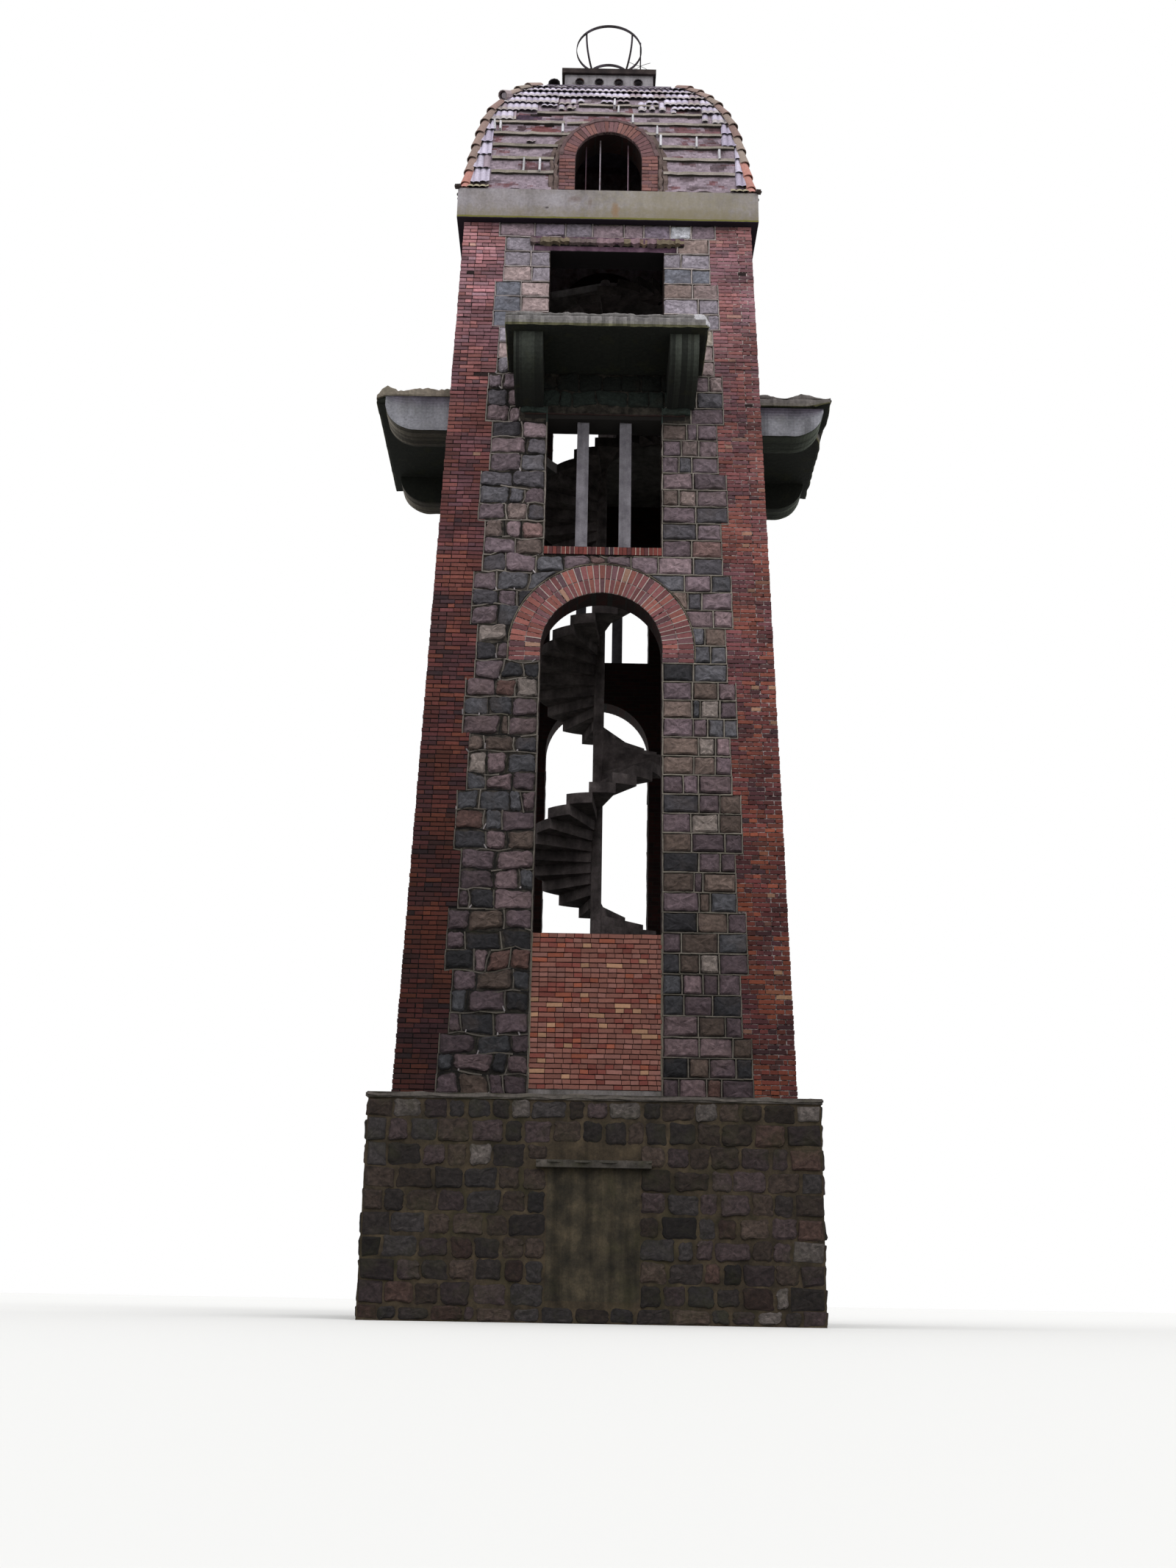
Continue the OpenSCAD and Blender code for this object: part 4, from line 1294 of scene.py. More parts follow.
# Undersides of the brackets and edges of the slabs, by side. The undersides carry painted shade, darkest on the front
# and back.
UNDERSIDES = (colour(62, 65, 60), colour(98, 104, 94), colour(62, 65, 60), colour(134, 126, 116))
EDGE_SHADES = (colour(132, 128, 128), colour(118, 112, 110), colour(132, 127, 127), colour(146, 136, 124))
# The crust on the slab's edges by side: how low it runs, as a share of its height, and its height
CRUSTS = ((0.55, 0.075), (0.1, 0.11), (0.3, 0.07), (0.62, 0.125))


def right_bite(q):
    """The right balcony's outer edge, broken away along its nearer half, and its lost lower corner."""
    depth = q.x + BALCONY_HALF
    out = BALCONY_REACH + q.y
    lost = 0.02 + 0.14 * exp(-(((depth - 1.02) / 0.2) ** 2)) + 0.03 * wave(depth * 4, 0, 3)
    q.y += max(0.0, lost) * max(0.0, 1 - out / 0.5)
    if depth < 0.6 and out < 0.45:
        share = (0.6 - depth) / 0.6 * (0.45 - out) / 0.45
        q.z = min(BALCONY_TOP, q.z + share * 0.14 * (BALCONY_TOP - q.z) / SLAB)
    if depth < 0.05 and q.z < BALCONY_FOOT + 0.05:
        q.z += 0.03
    return q


def left_corner(q):
    """Rounds the upper outer corner of the left balcony."""
    out = BALCONY_REACH + q.y
    if out < 0.16 and BALCONY_HALF - q.x < 0.5:
        q.z -= (0.16 - out) * 0.75 * (q.z - BALCONY_FOOT) / SLAB
    return q


def left_bite(q):
    """The rounded upper corner and the hollow lower edge of the left balcony's slab."""
    inward = BALCONY_HALF - q.x
    q = left_corner(q)
    if inward < 0.12 and q.z < BALCONY_TOP - 0.03:
        q.x -= FLANK_BACK + 0.02
    return q


def flank_tint(rise, y, sign):
    """The smooth side of a bracket, painted dark as the shadow under the slab's edge and paler below."""
    level = between(((0, 0.16), (0.12, 0.32), (0.3, 0.66), (0.55, 0.92), (0.93, 1.0), (1, 0.8)), 1 - rise)
    run = (0.94 if sign > 0 else 0.84) + 0.5 * wave(y * 5, sign * 3.0, rise * 0.7)
    return scaled(mixed(colour(128, 116, 140), FLANK, min(1.0, (1 - rise) * 2.4)), level * run)


def flank_plate(pile, place, u0, u1, foot, top):
    """A thin plate on the near side of a bracket, so that its colour can change with the height."""
    radius = BALCONY_FOOT - foot

    def curved(q):
        inward = max(0.0, -BRACKET_REACH + radius - q.y)
        low = BALCONY_FOOT - sqrt(max(0.0, radius**2 - inward**2))
        q.z = top - (top - q.z) / (top - foot) * (top - min(low, BALCONY_FOOT - BRACKET_TIP))
        return q

    def tint(axis, sign, at):
        # The plate's other faces are painted in shade
        if axis != 0:
            return scaled(SOFFIT_SHADE, 1.1)
        return flank_tint((at.z - foot) / (top - foot), at.y, sign)

    lo, hi = (u0, -BRACKET_REACH, foot), (u1, -half(foot) + 0.03, top)
    weathered_box(pile, lo, hi, 0.06, 0.004, tint, place, curved)


def bracket(pile, place, u0, u1, foot, side, rng):
    """A quarter-round bracket in vertical slices, streaked where water runs down it. Its underside is painted darker
    where it turns down toward the wall, as shade, and its hidden and inner faces are painted in shade.
    """
    radius = BALCONY_FOOT - foot
    profile = [
        (-BRACKET_REACH + radius - radius * sin(a), BALCONY_FOOT - max(BRACKET_TIP, radius * cos(a)))
        for a in steps_of(pi / 2, 0, 12)
    ]
    profile += [(y, foot) for y in steps_of(-BRACKET_REACH + radius, -half(foot) + 0.03, 6)[1:]]
    us = steps_of(u0, u1, 10)
    rows, wide = len(profile), len(us)
    points = []
    for top in (True, False):
        for y, z in profile:
            for k, u in enumerate(us):
                worn = 0.007 * (1 + wave(u * 9, y * 6, z * 6 + side * 5))
                worn += 0.008 if k in (0, wide - 1) else 0.0
                inset = worn if k == 0 else -worn if k == wide - 1 else 0.0
                points.append(place((u + inset, y, BALCONY_FOOT if top else z + worn)))
    size = rows * wide
    faces, tints = [], []
    # The outer sides: pale flanks on the side balconies, painted dark as shade on the front and back
    lit = FLANK if side in (LEFT, RIGHT) else colour(60, 60, 56)
    streaks = [rng.uniform(0.5, 1.5) for _ in us]
    for i in range(rows - 1):
        for k in range(wide - 1):
            a = i * wide + k
            b, c = a + wide, size + a
            faces += [(a, a + 1, b + 1, b), (c, c + wide, c + 1 + wide, c + 1)]
            # The underside darkens away from the slab's edge as painted shade; the streaks are water
            fade = between(((0, 1.0), (5, 0.75), (9, 0.42), (13, 0.28), (20, 0.2)), i)
            tints += [SOFFIT_SHADE, scaled(UNDERSIDES[side], (0.15 + 0.85 * streaks[k] ** 2) * fade)]
        for k in (0, wide - 1):
            a = i * wide + k
            faces.append((a, a + wide, size + a + wide, size + a))
            run = 0.86 + 0.5 * wave(profile[i][0] * 7, side * 3.0, k)
            outer = (k == 0) == (us[0] < 0)
            tints.append(scaled(lit, run) if outer else scaled(SOFFIT_SHADE, 0.9))
    for i in (0, rows - 1):
        for k in range(wide - 1):
            a = i * wide + k
            faces.append((a, a + 1, size + a + 1, size + a))
            tints.append(scaled(SOFFIT_SHADE, 1.2))
    pile.add(points, faces, tints)


def rounded_end(q):
    """Rounds the upper outer corner of the lump at the front balcony's right end."""
    across, rise = (q.x - 1.59) / 0.15, (q.z - BALCONY_FOOT) / 0.3
    if across > 0 and rise > 0.4:
        pull = 0.13 * across**2 * (rise - 0.4) / 0.6
        q.z -= pull
        q.x -= pull * 0.5
    return q


def edge_crust(pile, place, lo, hi, along, low, shade, seed, bite=None):
    """Crumbled screed on a slab's edge, of uneven height."""
    base = lo[2]

    def ragged(q):
        rise = low + (1 - low) * (0.5 + 0.9 * wave(q[along] * 2.6, seed, 0))
        rise *= 0.85 + 0.4 * wave(q[along] * 11, seed, 5)
        q.z = base + (q.z - base) * min(1.0, rise)
        return bite(q) if bite else q

    def tint(axis, sign, at):
        run = 0.92 + 0.35 * wave(at.x * 9, at.y * 9, seed)
        return scaled(shade, run * (0.75 if axis == 2 and sign > 0 else 1.0))

    weathered_box(pile, lo, hi, 0.05, 0.008, tint, place, ragged)


def balcony(side):
    rng = random.Random(f"balcony {side}")
    pile = Pile()

    def place(p):
        return turned(side, *p)

    shade = EDGE_SHADES[side]

    def slab_tint(axis, sign, at):
        # The slab's underside is painted in shade
        if axis == 2 and sign < 0:
            return scaled(SOFFIT_SHADE, 0.6 + 0.5 * rng.random())
        if axis == 2:
            return scaled(CONCRETE, 0.8)
        rise = (at.z - BALCONY_FOOT) / SLAB
        # On the left, the hollow lower part of the slab's near side is painted in shade
        if axis == 0 and side == LEFT and sign > 0 and rise < 0.86:
            return scaled(SOFFIT_SHADE, 1.4)
        along = at.x if axis == 1 else at.y
        run = 0.9 + 0.45 * wave(along * 8, side * 4.0, 0) + 0.4 * wave(along * 21, side, 4)
        here = mixed(shade, colour(100, 98, 56), 0.75 if rise < 0.2 else 0.15 if rise < 0.4 else 0.0)
        return scaled(here, run * rng.uniform(0.9, 1.08))

    inner = half(BALCONY_TOP) - 0.03
    weathered_box(
        pile, (-BALCONY_HALF, -BALCONY_REACH, BALCONY_FOOT), (BALCONY_HALF, -inner, BALCONY_TOP), 0.06, 0.014,
        slab_tint, place, {RIGHT: right_bite, LEFT: left_bite}.get(side),
    )
    foot = SIDE_BRACKET_FOOT if side in (LEFT, RIGHT) else BRACKET_FOOT
    near = BALCONY_HALF - (0.014 if side == RIGHT else FLANK_BACK)
    left, right = near if side == RIGHT else BRACKET_OUTER, near if side == LEFT else BRACKET_OUTER
    for u0, u1 in ((-left, -BRACKET_INNER), (BRACKET_INNER, right)):
        bracket(pile, place, u0, u1, foot, side, rng)
    if side == RIGHT:
        flank_plate(pile, place, -near - 0.008, -near + 0.02, foot, BALCONY_FOOT + 0.01)
    if side == LEFT:
        flank_plate(pile, place, near - 0.02, near + 0.01, foot, BALCONY_TOP - 0.02)
    # Crumbled screed along the slab's three free edges
    low, tall = CRUSTS[side]
    edge_crust(
        pile, place, (-BALCONY_HALF + 0.012, -BALCONY_REACH + 0.006, BALCONY_TOP - 0.02),
        (BALCONY_HALF - 0.012 - CRUST_START, -BALCONY_REACH + 0.006 + CRUST_WIDE, BALCONY_TOP + tall),
        0, low, shade, side * 7.0, left_corner if side == LEFT else None,
    )
    for sign in (-1, 1):
        a, b = spanned(sign, BALCONY_HALF - 0.004, BALCONY_HALF - 0.01 - CRUST_WIDE)
        near_left = side == LEFT and sign > 0
        outer, foot = (0.004, 0.1) if near_left else (CRUST_START, 0.02)
        edge_crust(
            pile, place, (a, -BALCONY_REACH + outer, BALCONY_TOP - foot), (b, -inner - 0.02, BALCONY_TOP + tall),
            1, low, shade, side * 7.0 + sign * 2.0, left_corner if near_left else None,
        )
    if side == FRONT:
        weathered_box(
            pile, (1.44, -BALCONY_REACH, BALCONY_FOOT + 0.02), (1.74, -BALCONY_REACH + 0.2, BALCONY_TOP + 0.075),
            0.05, 0.016, WHITE_PAINT, place, rounded_end,
        )
    piece = pile.make("balcony", crust_material, "concrete", side)
    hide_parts(f"{SIDE_NAMES[side]}_balcony")


for side in SIDES:
    balcony(side)


# Drip courses and the small crusts of mortar and moss

DRIP_SHADES = (colour(150, 126, 110), colour(136, 122, 104), colour(150, 124, 132), colour(124, 108, 108))

for side in SIDES:
    rng = random.Random(f"drip {side}")
    pile = Pile()
    place = on_shaft(side)
    at = -DRIP_HALF
    while at < DRIP_HALF - 0.02:
        end = min(DRIP_HALF, at + rng.uniform(0.12, 0.42))
        shade = rng.choice(DRIP_SHADES)
        z = DRIP_TOP - 0.088 + rng.uniform(-0.006, 0.008)
        tint = scaled(shade, rng.uniform(0.84, 1.06))
        strip(pile, place, stepped(at, z, end, z, 0.06), 0.165, 0.074, rng, tint, 0.004)
        at = end
    # A dark line painted as the shadow under the drip course
    line = stepped(-DRIP_HALF + 0.01, LINTEL_TOP - 0.01, DRIP_HALF - 0.01, LINTEL_TOP - 0.01, 0.2)
    strip(pile, place, line, 0.07, 0.016, rng, SHADE_BLACK)
    # A crust along the middle window's lintel, painted dark as the shade under the balcony
    crust = stepped(-MID_LINTEL_HALF, MID_LINTEL_TOP - 0.01, MID_LINTEL_HALF, MID_LINTEL_TOP - 0.01, 0.12)
    strip(pile, place, crust, 0.03, 0.02, rng, colour(58, 42, 40), 0.006)
    pile.make("crusts", crust_material, "cement", side)


# Roof

EAVES = 2.64
LOW_R, HIGH_R = 13.5, 4.2
LEAN_FOOT, LEAN_JOINT, LEAN_TOP = (radians(a) for a in (6, 13, 45))
LOW_C = Vector((EAVES - LOW_R * cos(LEAN_FOOT), CORNICE_TOP - LOW_R * sin(LEAN_FOOT)))
JOINT_P = LOW_C + LOW_R * Vector((cos(LEAN_JOINT), sin(LEAN_JOINT)))
HIGH_C = JOINT_P - HIGH_R * Vector((cos(LEAN_JOINT), sin(LEAN_JOINT)))
ROOF_TOP = HIGH_C.y + HIGH_R * sin(LEAN_TOP)


def roof_at(z):
    """The roof face's distance from the axis and its lean, at a height."""
    if z < JOINT_P.y:
        lean = asin((z - LOW_C.y) / LOW_R)
        return LOW_C.x + LOW_R * cos(lean), lean
    lean = asin(min(sin(LEAN_TOP), (z - HIGH_C.y) / HIGH_R))
    return HIGH_C.x + HIGH_R * cos(lean), lean


def on_roof(side):
    """Puts (u, n outward from the roof's face, z of the face) on a side of the roof."""

    def place(u, n, z):
        r, lean = roof_at(z)
        return turned(side, u, -(r + n * cos(lean)), z + n * sin(lean))

    return place


WINDOW_HALF, WINDOW_RING = 0.62, 0.30
WINDOW_SPRING = CORNICE_TOP + 0.8
WINDOW_SILL = CORNICE_TOP + 0.11
WINDOW_FACE = 2.62
WINDOW_COURSES, WINDOW_RING_BRICKS = 9, 28
COLLAR = WINDOW_HALF + WINDOW_RING + 0.03


def collar_at(z):
    """Half the width that the roof window's ring takes at a height."""
    if z < WINDOW_SPRING:
        return COLLAR
    return sqrt(max(0.0, COLLAR**2 - (z - WINDOW_SPRING) ** 2))


def shell(pile, place, zs, span_of, across, height_of, tint_of_place):
    """A rough skin over part of the roof, closed at its back."""
    points = []
    rows = len(zs)
    for back in (False, True):
        for z in zs:
            u0, u1 = span_of(z)
            for k in range(across + 1):
                u = u0 + (u1 - u0) * k / across
                border = k in (0, across) or z in (zs[0], zs[-1])
                points.append(place(u, -0.03 if back else 0.0 if border else height_of(u, z), z))
    wide = across + 1
    size = rows * wide
    faces, tints = [], []

    def quad(a, b, c, d, shade):
        faces.append((a, b, c, d))
        tints.append(shade)

    for r in range(rows - 1):
        for k in range(across):
            a = r * wide + k
            u0, u1 = span_of(zs[r])
            shade = tint_of_place(u0 + (u1 - u0) * (k + 0.5) / across, (zs[r] + zs[r + 1]) / 2)
            quad(a, a + 1, a + 1 + wide, a + wide, shade)
            quad(size + a, size + a + wide, size + a + 1 + wide, size + a + 1, shade)
    edge = list(range(wide)) + [r * wide + across for r in range(1, rows)]
    edge += [(rows - 1) * wide + k for k in range(across - 1, -1, -1)] + [r * wide for r in range(rows - 2, 0, -1)]
    for i, a in enumerate(edge):
        b = edge[(i + 1) % len(edge)]
        quad(a, b, size + b, size + a, LILAC_MORTAR)
    pile.add(points, faces, tints)


def skin_height(u, z):
    rough = wave(u * 5, z * 9, 4) + 0.6 * wave(u * 15, z * 24, 8)
    return 0.016 + 0.013 * rough


# Bare brick, and dark patches painted as the shade in hollows of the roof, as (u, z, half width, half height, colour)
SKIN_PATCHES = (
    (-1.55, 21.7, 0.3, 0.12, colour(66, 52, 72)), (-1.25, 21.36, 0.36, 0.12, colour(122, 66, 66)),
    (-1.66, 21.38, 0.1, 0.08, colour(70, 48, 54)), (-1.0, 21.68, 0.12, 0.05, colour(76, 60, 74)),
)


def skin_tint(u, z):
    brick = wave(u * 1.7, z * 2.6, 1.0) + 0.5 * wave(u * 6, z * 16, 5.0)
    dirt = wave(u * 2.2, z * 5.0, 9.0)
    shade = LILAC_MORTAR
    if brick > 0.2:
        shade = mixed(shade, colour(118, 68, 70), min(0.8, (brick - 0.2) * 4))
    for at_u, at_z, half_u, half_z, patch in SKIN_PATCHES:
        far = hypot((u - at_u) / half_u, (z - at_z) / half_z) + 0.5 * wave(u * 7, z * 14, 3.0)
        if far < 1:
            shade = mixed(shade, patch, min(0.9, (1 - far) * 4))
    if dirt > 0.2:
        shade = mixed(shade, colour(78, 62, 66), min(0.75, (dirt - 0.2) * 4))
    return scaled(shade, 0.95 + 0.5 * wave(u * 12, z * 42, 2.0))


TILE_WIDE, TILE_LONG = 0.232, 0.41
EAVES_REACH = 2.9
EAVES_TILE = scaled(colour(176, 166, 142), 0.9)
TILE_THICK, TILE_STEPS = 0.014, 12
ROLL_HIGH = 0.026
HIP_CLEAR = 0.05


def tile(pile, place, u0, z0, width, length, lift, tint, limit, skew=0.0, dirt_and_shade=False):
    """A clay tile with two rolls, its lower end lifted on the one below. Its sides keep inside the limit. Its rolls
    carry a painted highlight and painted shade, and its underside and ends are painted dark as shade.
    """
    lean = roof_at(z0)[1]
    cuts = (0.0, 0.3, 1.0) if dirt_and_shade else (0.0, 1.0)
    points = []
    for t in cuts:
        z = z0 + length * cos(lean) * t
        for bottom in (0, 1):
            for k in range(TILE_STEPS + 1):
                s = k / TILE_STEPS
                roll = ROLL_HIGH * abs(sin(2 * pi * s * width / TILE_WIDE)) ** 0.75
                n = lift * (1 - t) + TILE_THICK + roll - TILE_THICK * bottom
                u = u0 + width * s + skew * t
                bound = limit(z) + n * 0.6
                points.append(place(max(-bound, min(bound, u)), n, z))
    wide = TILE_STEPS + 1
    last = 2 * wide * (len(cuts) - 1)
    faces, tints = [], []
    for k in range(TILE_STEPS):
        turn = abs(sin(2 * pi * (k + 0.5) / TILE_STEPS * width / TILE_WIDE))
        for i in range(len(cuts) - 1):
            a = k + 2 * wide * i
            b = a + 2 * wide
            upper = mixed(tint, TILE_BEIGE, 0.6) if dirt_and_shade and i == 0 else tint
            faces += [(a, a + 1, b + 1, b), (a + wide, b + wide, b + 1 + wide, a + 1 + wide)]
            # The crown of each roll carries a painted highlight and its valley painted shade; the underside is
            # painted dark as shade
            tints += [scaled(upper, 0.76 + 0.32 * turn**0.8), scaled(tint, 0.2)]
        # The lower end is painted darkest, as the shadow under the row, and the upper end in shade
        faces += [(k, k + 1, k + 1 + wide, k + wide), (k + last, k + 1 + last, k + 1 + last + wide, k + last + wide)]
        tints += [scaled(tint, 0.1), scaled(tint, 0.5)]
    for k in (0, TILE_STEPS):
        for i in range(len(cuts) - 1):
            a = k + 2 * wide * i
            faces.append((a, a + wide, a + 3 * wide, a + 2 * wide))
            tints.append(scaled(tint, 0.5))
    pile.add(points, faces, tints)


def tile_tint(rng):
    shade = rng.choices((TILE_PALE, TILE_GREY, TILE_RED, LILAC_MORTAR), (4, 2.4, 0.05, 1.2))[0]
    return scaled(shade, rng.uniform(0.88, 1.12))


# Stands for the hip, past the end of any row
HIP = 3
# Rows of tiles that are still there, by the height of their lower edge, as spans of u
TILE_ROWS = (
    (23.02, ((-HIP, HIP),)), (22.735, ((-HIP, HIP),)), (22.45, ((-HIP, HIP),)),
    (22.165, ((-HIP, -0.98), (1.06, HIP))), (21.885, ((-HIP, -1.37), (1.77, HIP))),
    (21.575, ((-HIP, -1.77), (1.96, HIP))),
    (21.28, ((-HIP, -2.16), (2.12, HIP))), (20.93, ((-HIP, -2.18), (2.12, HIP))),
    (20.6, ((-HIP, -2.19), (2.36, HIP))), (20.25, ((-HIP, -2.2), (2.36, HIP))), (19.9, ((-HIP, -2.2), (2.36, HIP))),
)
# Rows above these levels are broken off elsewhere on the other sides, and are soiled on the front
SHIFTED_ABOVE, SOILED_ABOVE = 21.8, 21.5
# Slipped and broken tiles of the front, as (first u, last u, lower edge, length)
STRAY_TILES = (
    (-0.97, -0.86, 21.915, 0.38), (-0.81, -0.64, 21.96, 0.34), (-0.97, -0.64, 22.14, 0.3), (-0.6, -0.48, 22.22, 0.24),
    (-0.16, 0.09, 22.22, 0.2), (0.16, 0.41, 22.24, 0.2), (0.56, 0.71, 21.94, 0.42), (0.77, 0.88, 21.98, 0.38),
    (0.96, 1.08, 21.955, 0.4), (0.72, 0.96, 22.22, 0.22), (1.2, 1.76, 22.01, 0.2), (1.18, 1.28, 21.86, 0.26),
    (1.77, 1.88, 21.635, 0.3), (-1.3, -1.0, 22.05, 0.16), (-1.55, -1.38, 20.95, 0.1),
)


def tile_run(pile, place, rng, a, b, z0, length, limit, dirt_and_shade):
    """Tiles side by side from a to b."""
    at = a
    while b - at > 0.03:
        to_next = TILE_WIDE - (at - a) % TILE_WIDE
        wide = min(to_next if to_next > 0.05 else to_next + TILE_WIDE, b - at)
        drop = rng.uniform(-0.012, 0.008)
        tile(
            pile, place, at, z0 + drop, wide + 0.004, length, rng.uniform(0.04, 0.052), tile_tint(rng), limit,
            rng.uniform(-0.004, 0.004), dirt_and_shade,
        )
        at += wide


def roof_tiles(side):
    rng = random.Random(f"tiles {side}")
    pile = Pile()
    place = on_roof(side)

    def limit(z):
        return roof_at(min(z, ROOF_TOP))[0] - HIP_CLEAR

    for z0, spans in TILE_ROWS:
        reach = limit(z0) + 0.04
        for a, b in spans:
            if side != FRONT:
                shift = rng.uniform(-0.3, 0.3) if z0 > SHIFTED_ABOVE else 0.0
                a, b = (u if abs(u) == HIP else u + shift for u in (a, b))
            a, b = max(a, -reach), min(b, reach)
            tile_run(pile, place, rng, a, b, z0, TILE_LONG, limit, side == FRONT and z0 > SOILED_ABOVE)
    for a, b, z0, length in STRAY_TILES:
        if side != FRONT:
            a, b, z0 = -b + rng.uniform(-0.2, 0.2), -a, z0 + rng.uniform(-0.03, 0.03)
        tile_run(pile, place, rng, a, b, z0, length, limit, side == FRONT)
    # Tiles and mortar left at the eaves, ends over the cornice
    for a, b in ((-2.6, -2.2), (2.25, 2.6)):
        u = a
        while u < b - 0.02:
            wide = min(TILE_WIDE, b - u)
            tile(pile, place, u, CORNICE_TOP + 0.005, wide, 0.16, 0.12, EAVES_TILE, lambda z: EAVES_REACH)
            u += TILE_WIDE
    pile.make("roof_tiles", tile_material, "tile", side)


# Battens that are still there, as (first u, last u, lower edge); None stands for the roof window's collar
BATTENS = (
    (-1.37, 1.77, 21.8), (-2.17, None, 21.486), (-2.17, None, 21.164), (-2.17, None, 20.834), (-2.17, None, 20.494),
    (-2.17, None, 20.141), (None, 2.13, 21.5), (None, 2.13, 21.205), (None, 2.35, 20.86), (None, 2.35, 20.53),
    (None, 2.35, 20.168), (-0.58, 0.95, 22.1),
)
BATTEN_HIGH = 0.07
SKIN_TOP = 22.6
# Pale strips nailed upright over the battens, as (u, foot, top)
WHITE_STRIPS = (
    (-2.05, 21.26, 21.5), (-0.87, 21.24, 21.5), (-1.58, 20.18, 20.5), (-1.28, 20.18, 20.5), (0.1, 22.06, 22.3),
    (0.175, 21.85, 22.08), (0.455, 21.53, 21.74), (0.91, 21.2, 21.47), (0.97, 20.88, 21.17), (1.65, 20.87, 21.17),
    (2.07, 20.57, 20.83), (-2.16, 21.3, 21.56),
)


def plank(pile, place, a, b, z, high, proud, rng, tint):
    """A square batten that sags and wanders a little. Its underside and back are painted dark as shade."""
    path = stepped(a, z, b, z, 0.14)
    points = []
    for u, at in path:
        low = at + rng.uniform(-0.006, 0.006)
        top = low + high * rng.uniform(0.86, 1.06)
        out = proud * rng.uniform(0.9, 1.1)
        points += [place(u, MORTAR_BASE, low), place(u, out, low), place(u, out, top), place(u, MORTAR_BASE, top)]
    levels = [level for _ in path[1:] for level in (0.22, rng.uniform(0.86, 1.12), 0.9, 0.4)]
    pile.add(points, bar_faces(4, len(path)), [scaled(tint, level) for level in (*levels, 0.8, 0.8)])


def roof_body(side):
    """The bare masonry of a roof side, its battens and the strips nailed to it."""
    rng = random.Random(f"roof {side}")
    place = on_roof(side)
    skin = Pile()
    low = steps_of(CORNICE_TOP + 0.02, WINDOW_SPRING + COLLAR - 0.03, 44)
    for sign in (-1, 1):

        def span(z, sign=sign):
            return spanned(sign, roof_at(z)[0] - 0.03, collar_at(z))

        shell(skin, place, low, span, 30, skin_height, skin_tint)
    high = steps_of(WINDOW_SPRING + COLLAR - 0.05, SKIN_TOP, 24)
    shell(skin, place, high, lambda z: (-roof_at(z)[0] + 0.03, roof_at(z)[0] - 0.03), 56, skin_height, skin_tint)
    skin.make("roof_skin", skin_material, "roof_masonry", side)

    wood = Pile()
    for a, b, z in BATTENS:
        collar = collar_at(z + BATTEN_HIGH / 2) + 0.07
        at, b = collar if a is None else a, -collar if b is None else b
        while b - at > 0.05:
            end = min(b, at + rng.uniform(0.6, 1.8))
            end = b if b - end < 0.2 else end
            shade = mixed(colour(164, 154, 148), colour(124, 120, 94), rng.uniform(0, 0.4))
            plank(wood, place, at, end, z, BATTEN_HIGH, 0.062, rng, scaled(shade, rng.uniform(0.84, 1.1)))
            at = end + (rng.uniform(0.02, 0.1) if rng.random() < 0.25 else 0.0)
    for u, z0, z1 in WHITE_STRIPS:
        if side != FRONT:
            u = u * rng.choice((-1, 1)) + rng.uniform(-0.3, 0.3)
        if abs(u) > collar_at((z0 + z1) / 2) + 0.08 or z0 > WINDOW_SPRING + COLLAR:
            path = [(u, z0), (u + rng.uniform(-0.01, 0.01), z1)]
            strip(wood, place, path, 0.06, 0.085, rng, scaled(WHITE_PAINT, rng.uniform(1.0, 1.2)), 0.002)
    # Hollows where the masonry has broken away, as blocks painted dark as their shade
    if side == FRONT:
        for u0, u1, z0, z1 in ((-1.62, -1.3, 21.46, 21.53), (-1.22, -1.04, 21.44, 21.52), (-1.5, -1.1, 21.76, 21.83)):
            hole(wood, moved_out(place, 0.02), u0, u1, z0, z1, rng)
    # Mortar along the foot
    for a, b in ((-2.25, -COLLAR - 0.1), (COLLAR + 0.1, 2.3)):
        foot = stepped(a, CORNICE_TOP + 0.03, b, CORNICE_TOP + 0.03, 0.12)
        strip(wood, place, foot, 0.09, 0.09, rng, LILAC_MORTAR, 0.02)
    wood.make("battens", wood_material, "concrete", side)


def on_window(side):
    return lambda u, n, z: turned(side, u, -WINDOW_FACE - n, z)


WINDOW_BRICKS = (colour(134, 76, 68), colour(114, 74, 84), colour(150, 96, 84), colour(92, 58, 60))
# Bars of the roof window, as (u, radius, colour)
WINDOW_BARS = (
    (-0.42, 0.011, colour(78, 60, 72)), (-0.155, 0.014, colour(160, 150, 160)), (0.37, 0.012, colour(134, 110, 124)),
)


def window_brick_tint(rng):
    shade = rng.choices(WINDOW_BRICKS, (4, 4, 1.4, 1))[0]
    return scaled(mixed(shade, colour(150, 117, 116), 0.5), rng.uniform(0.8, 1.14))


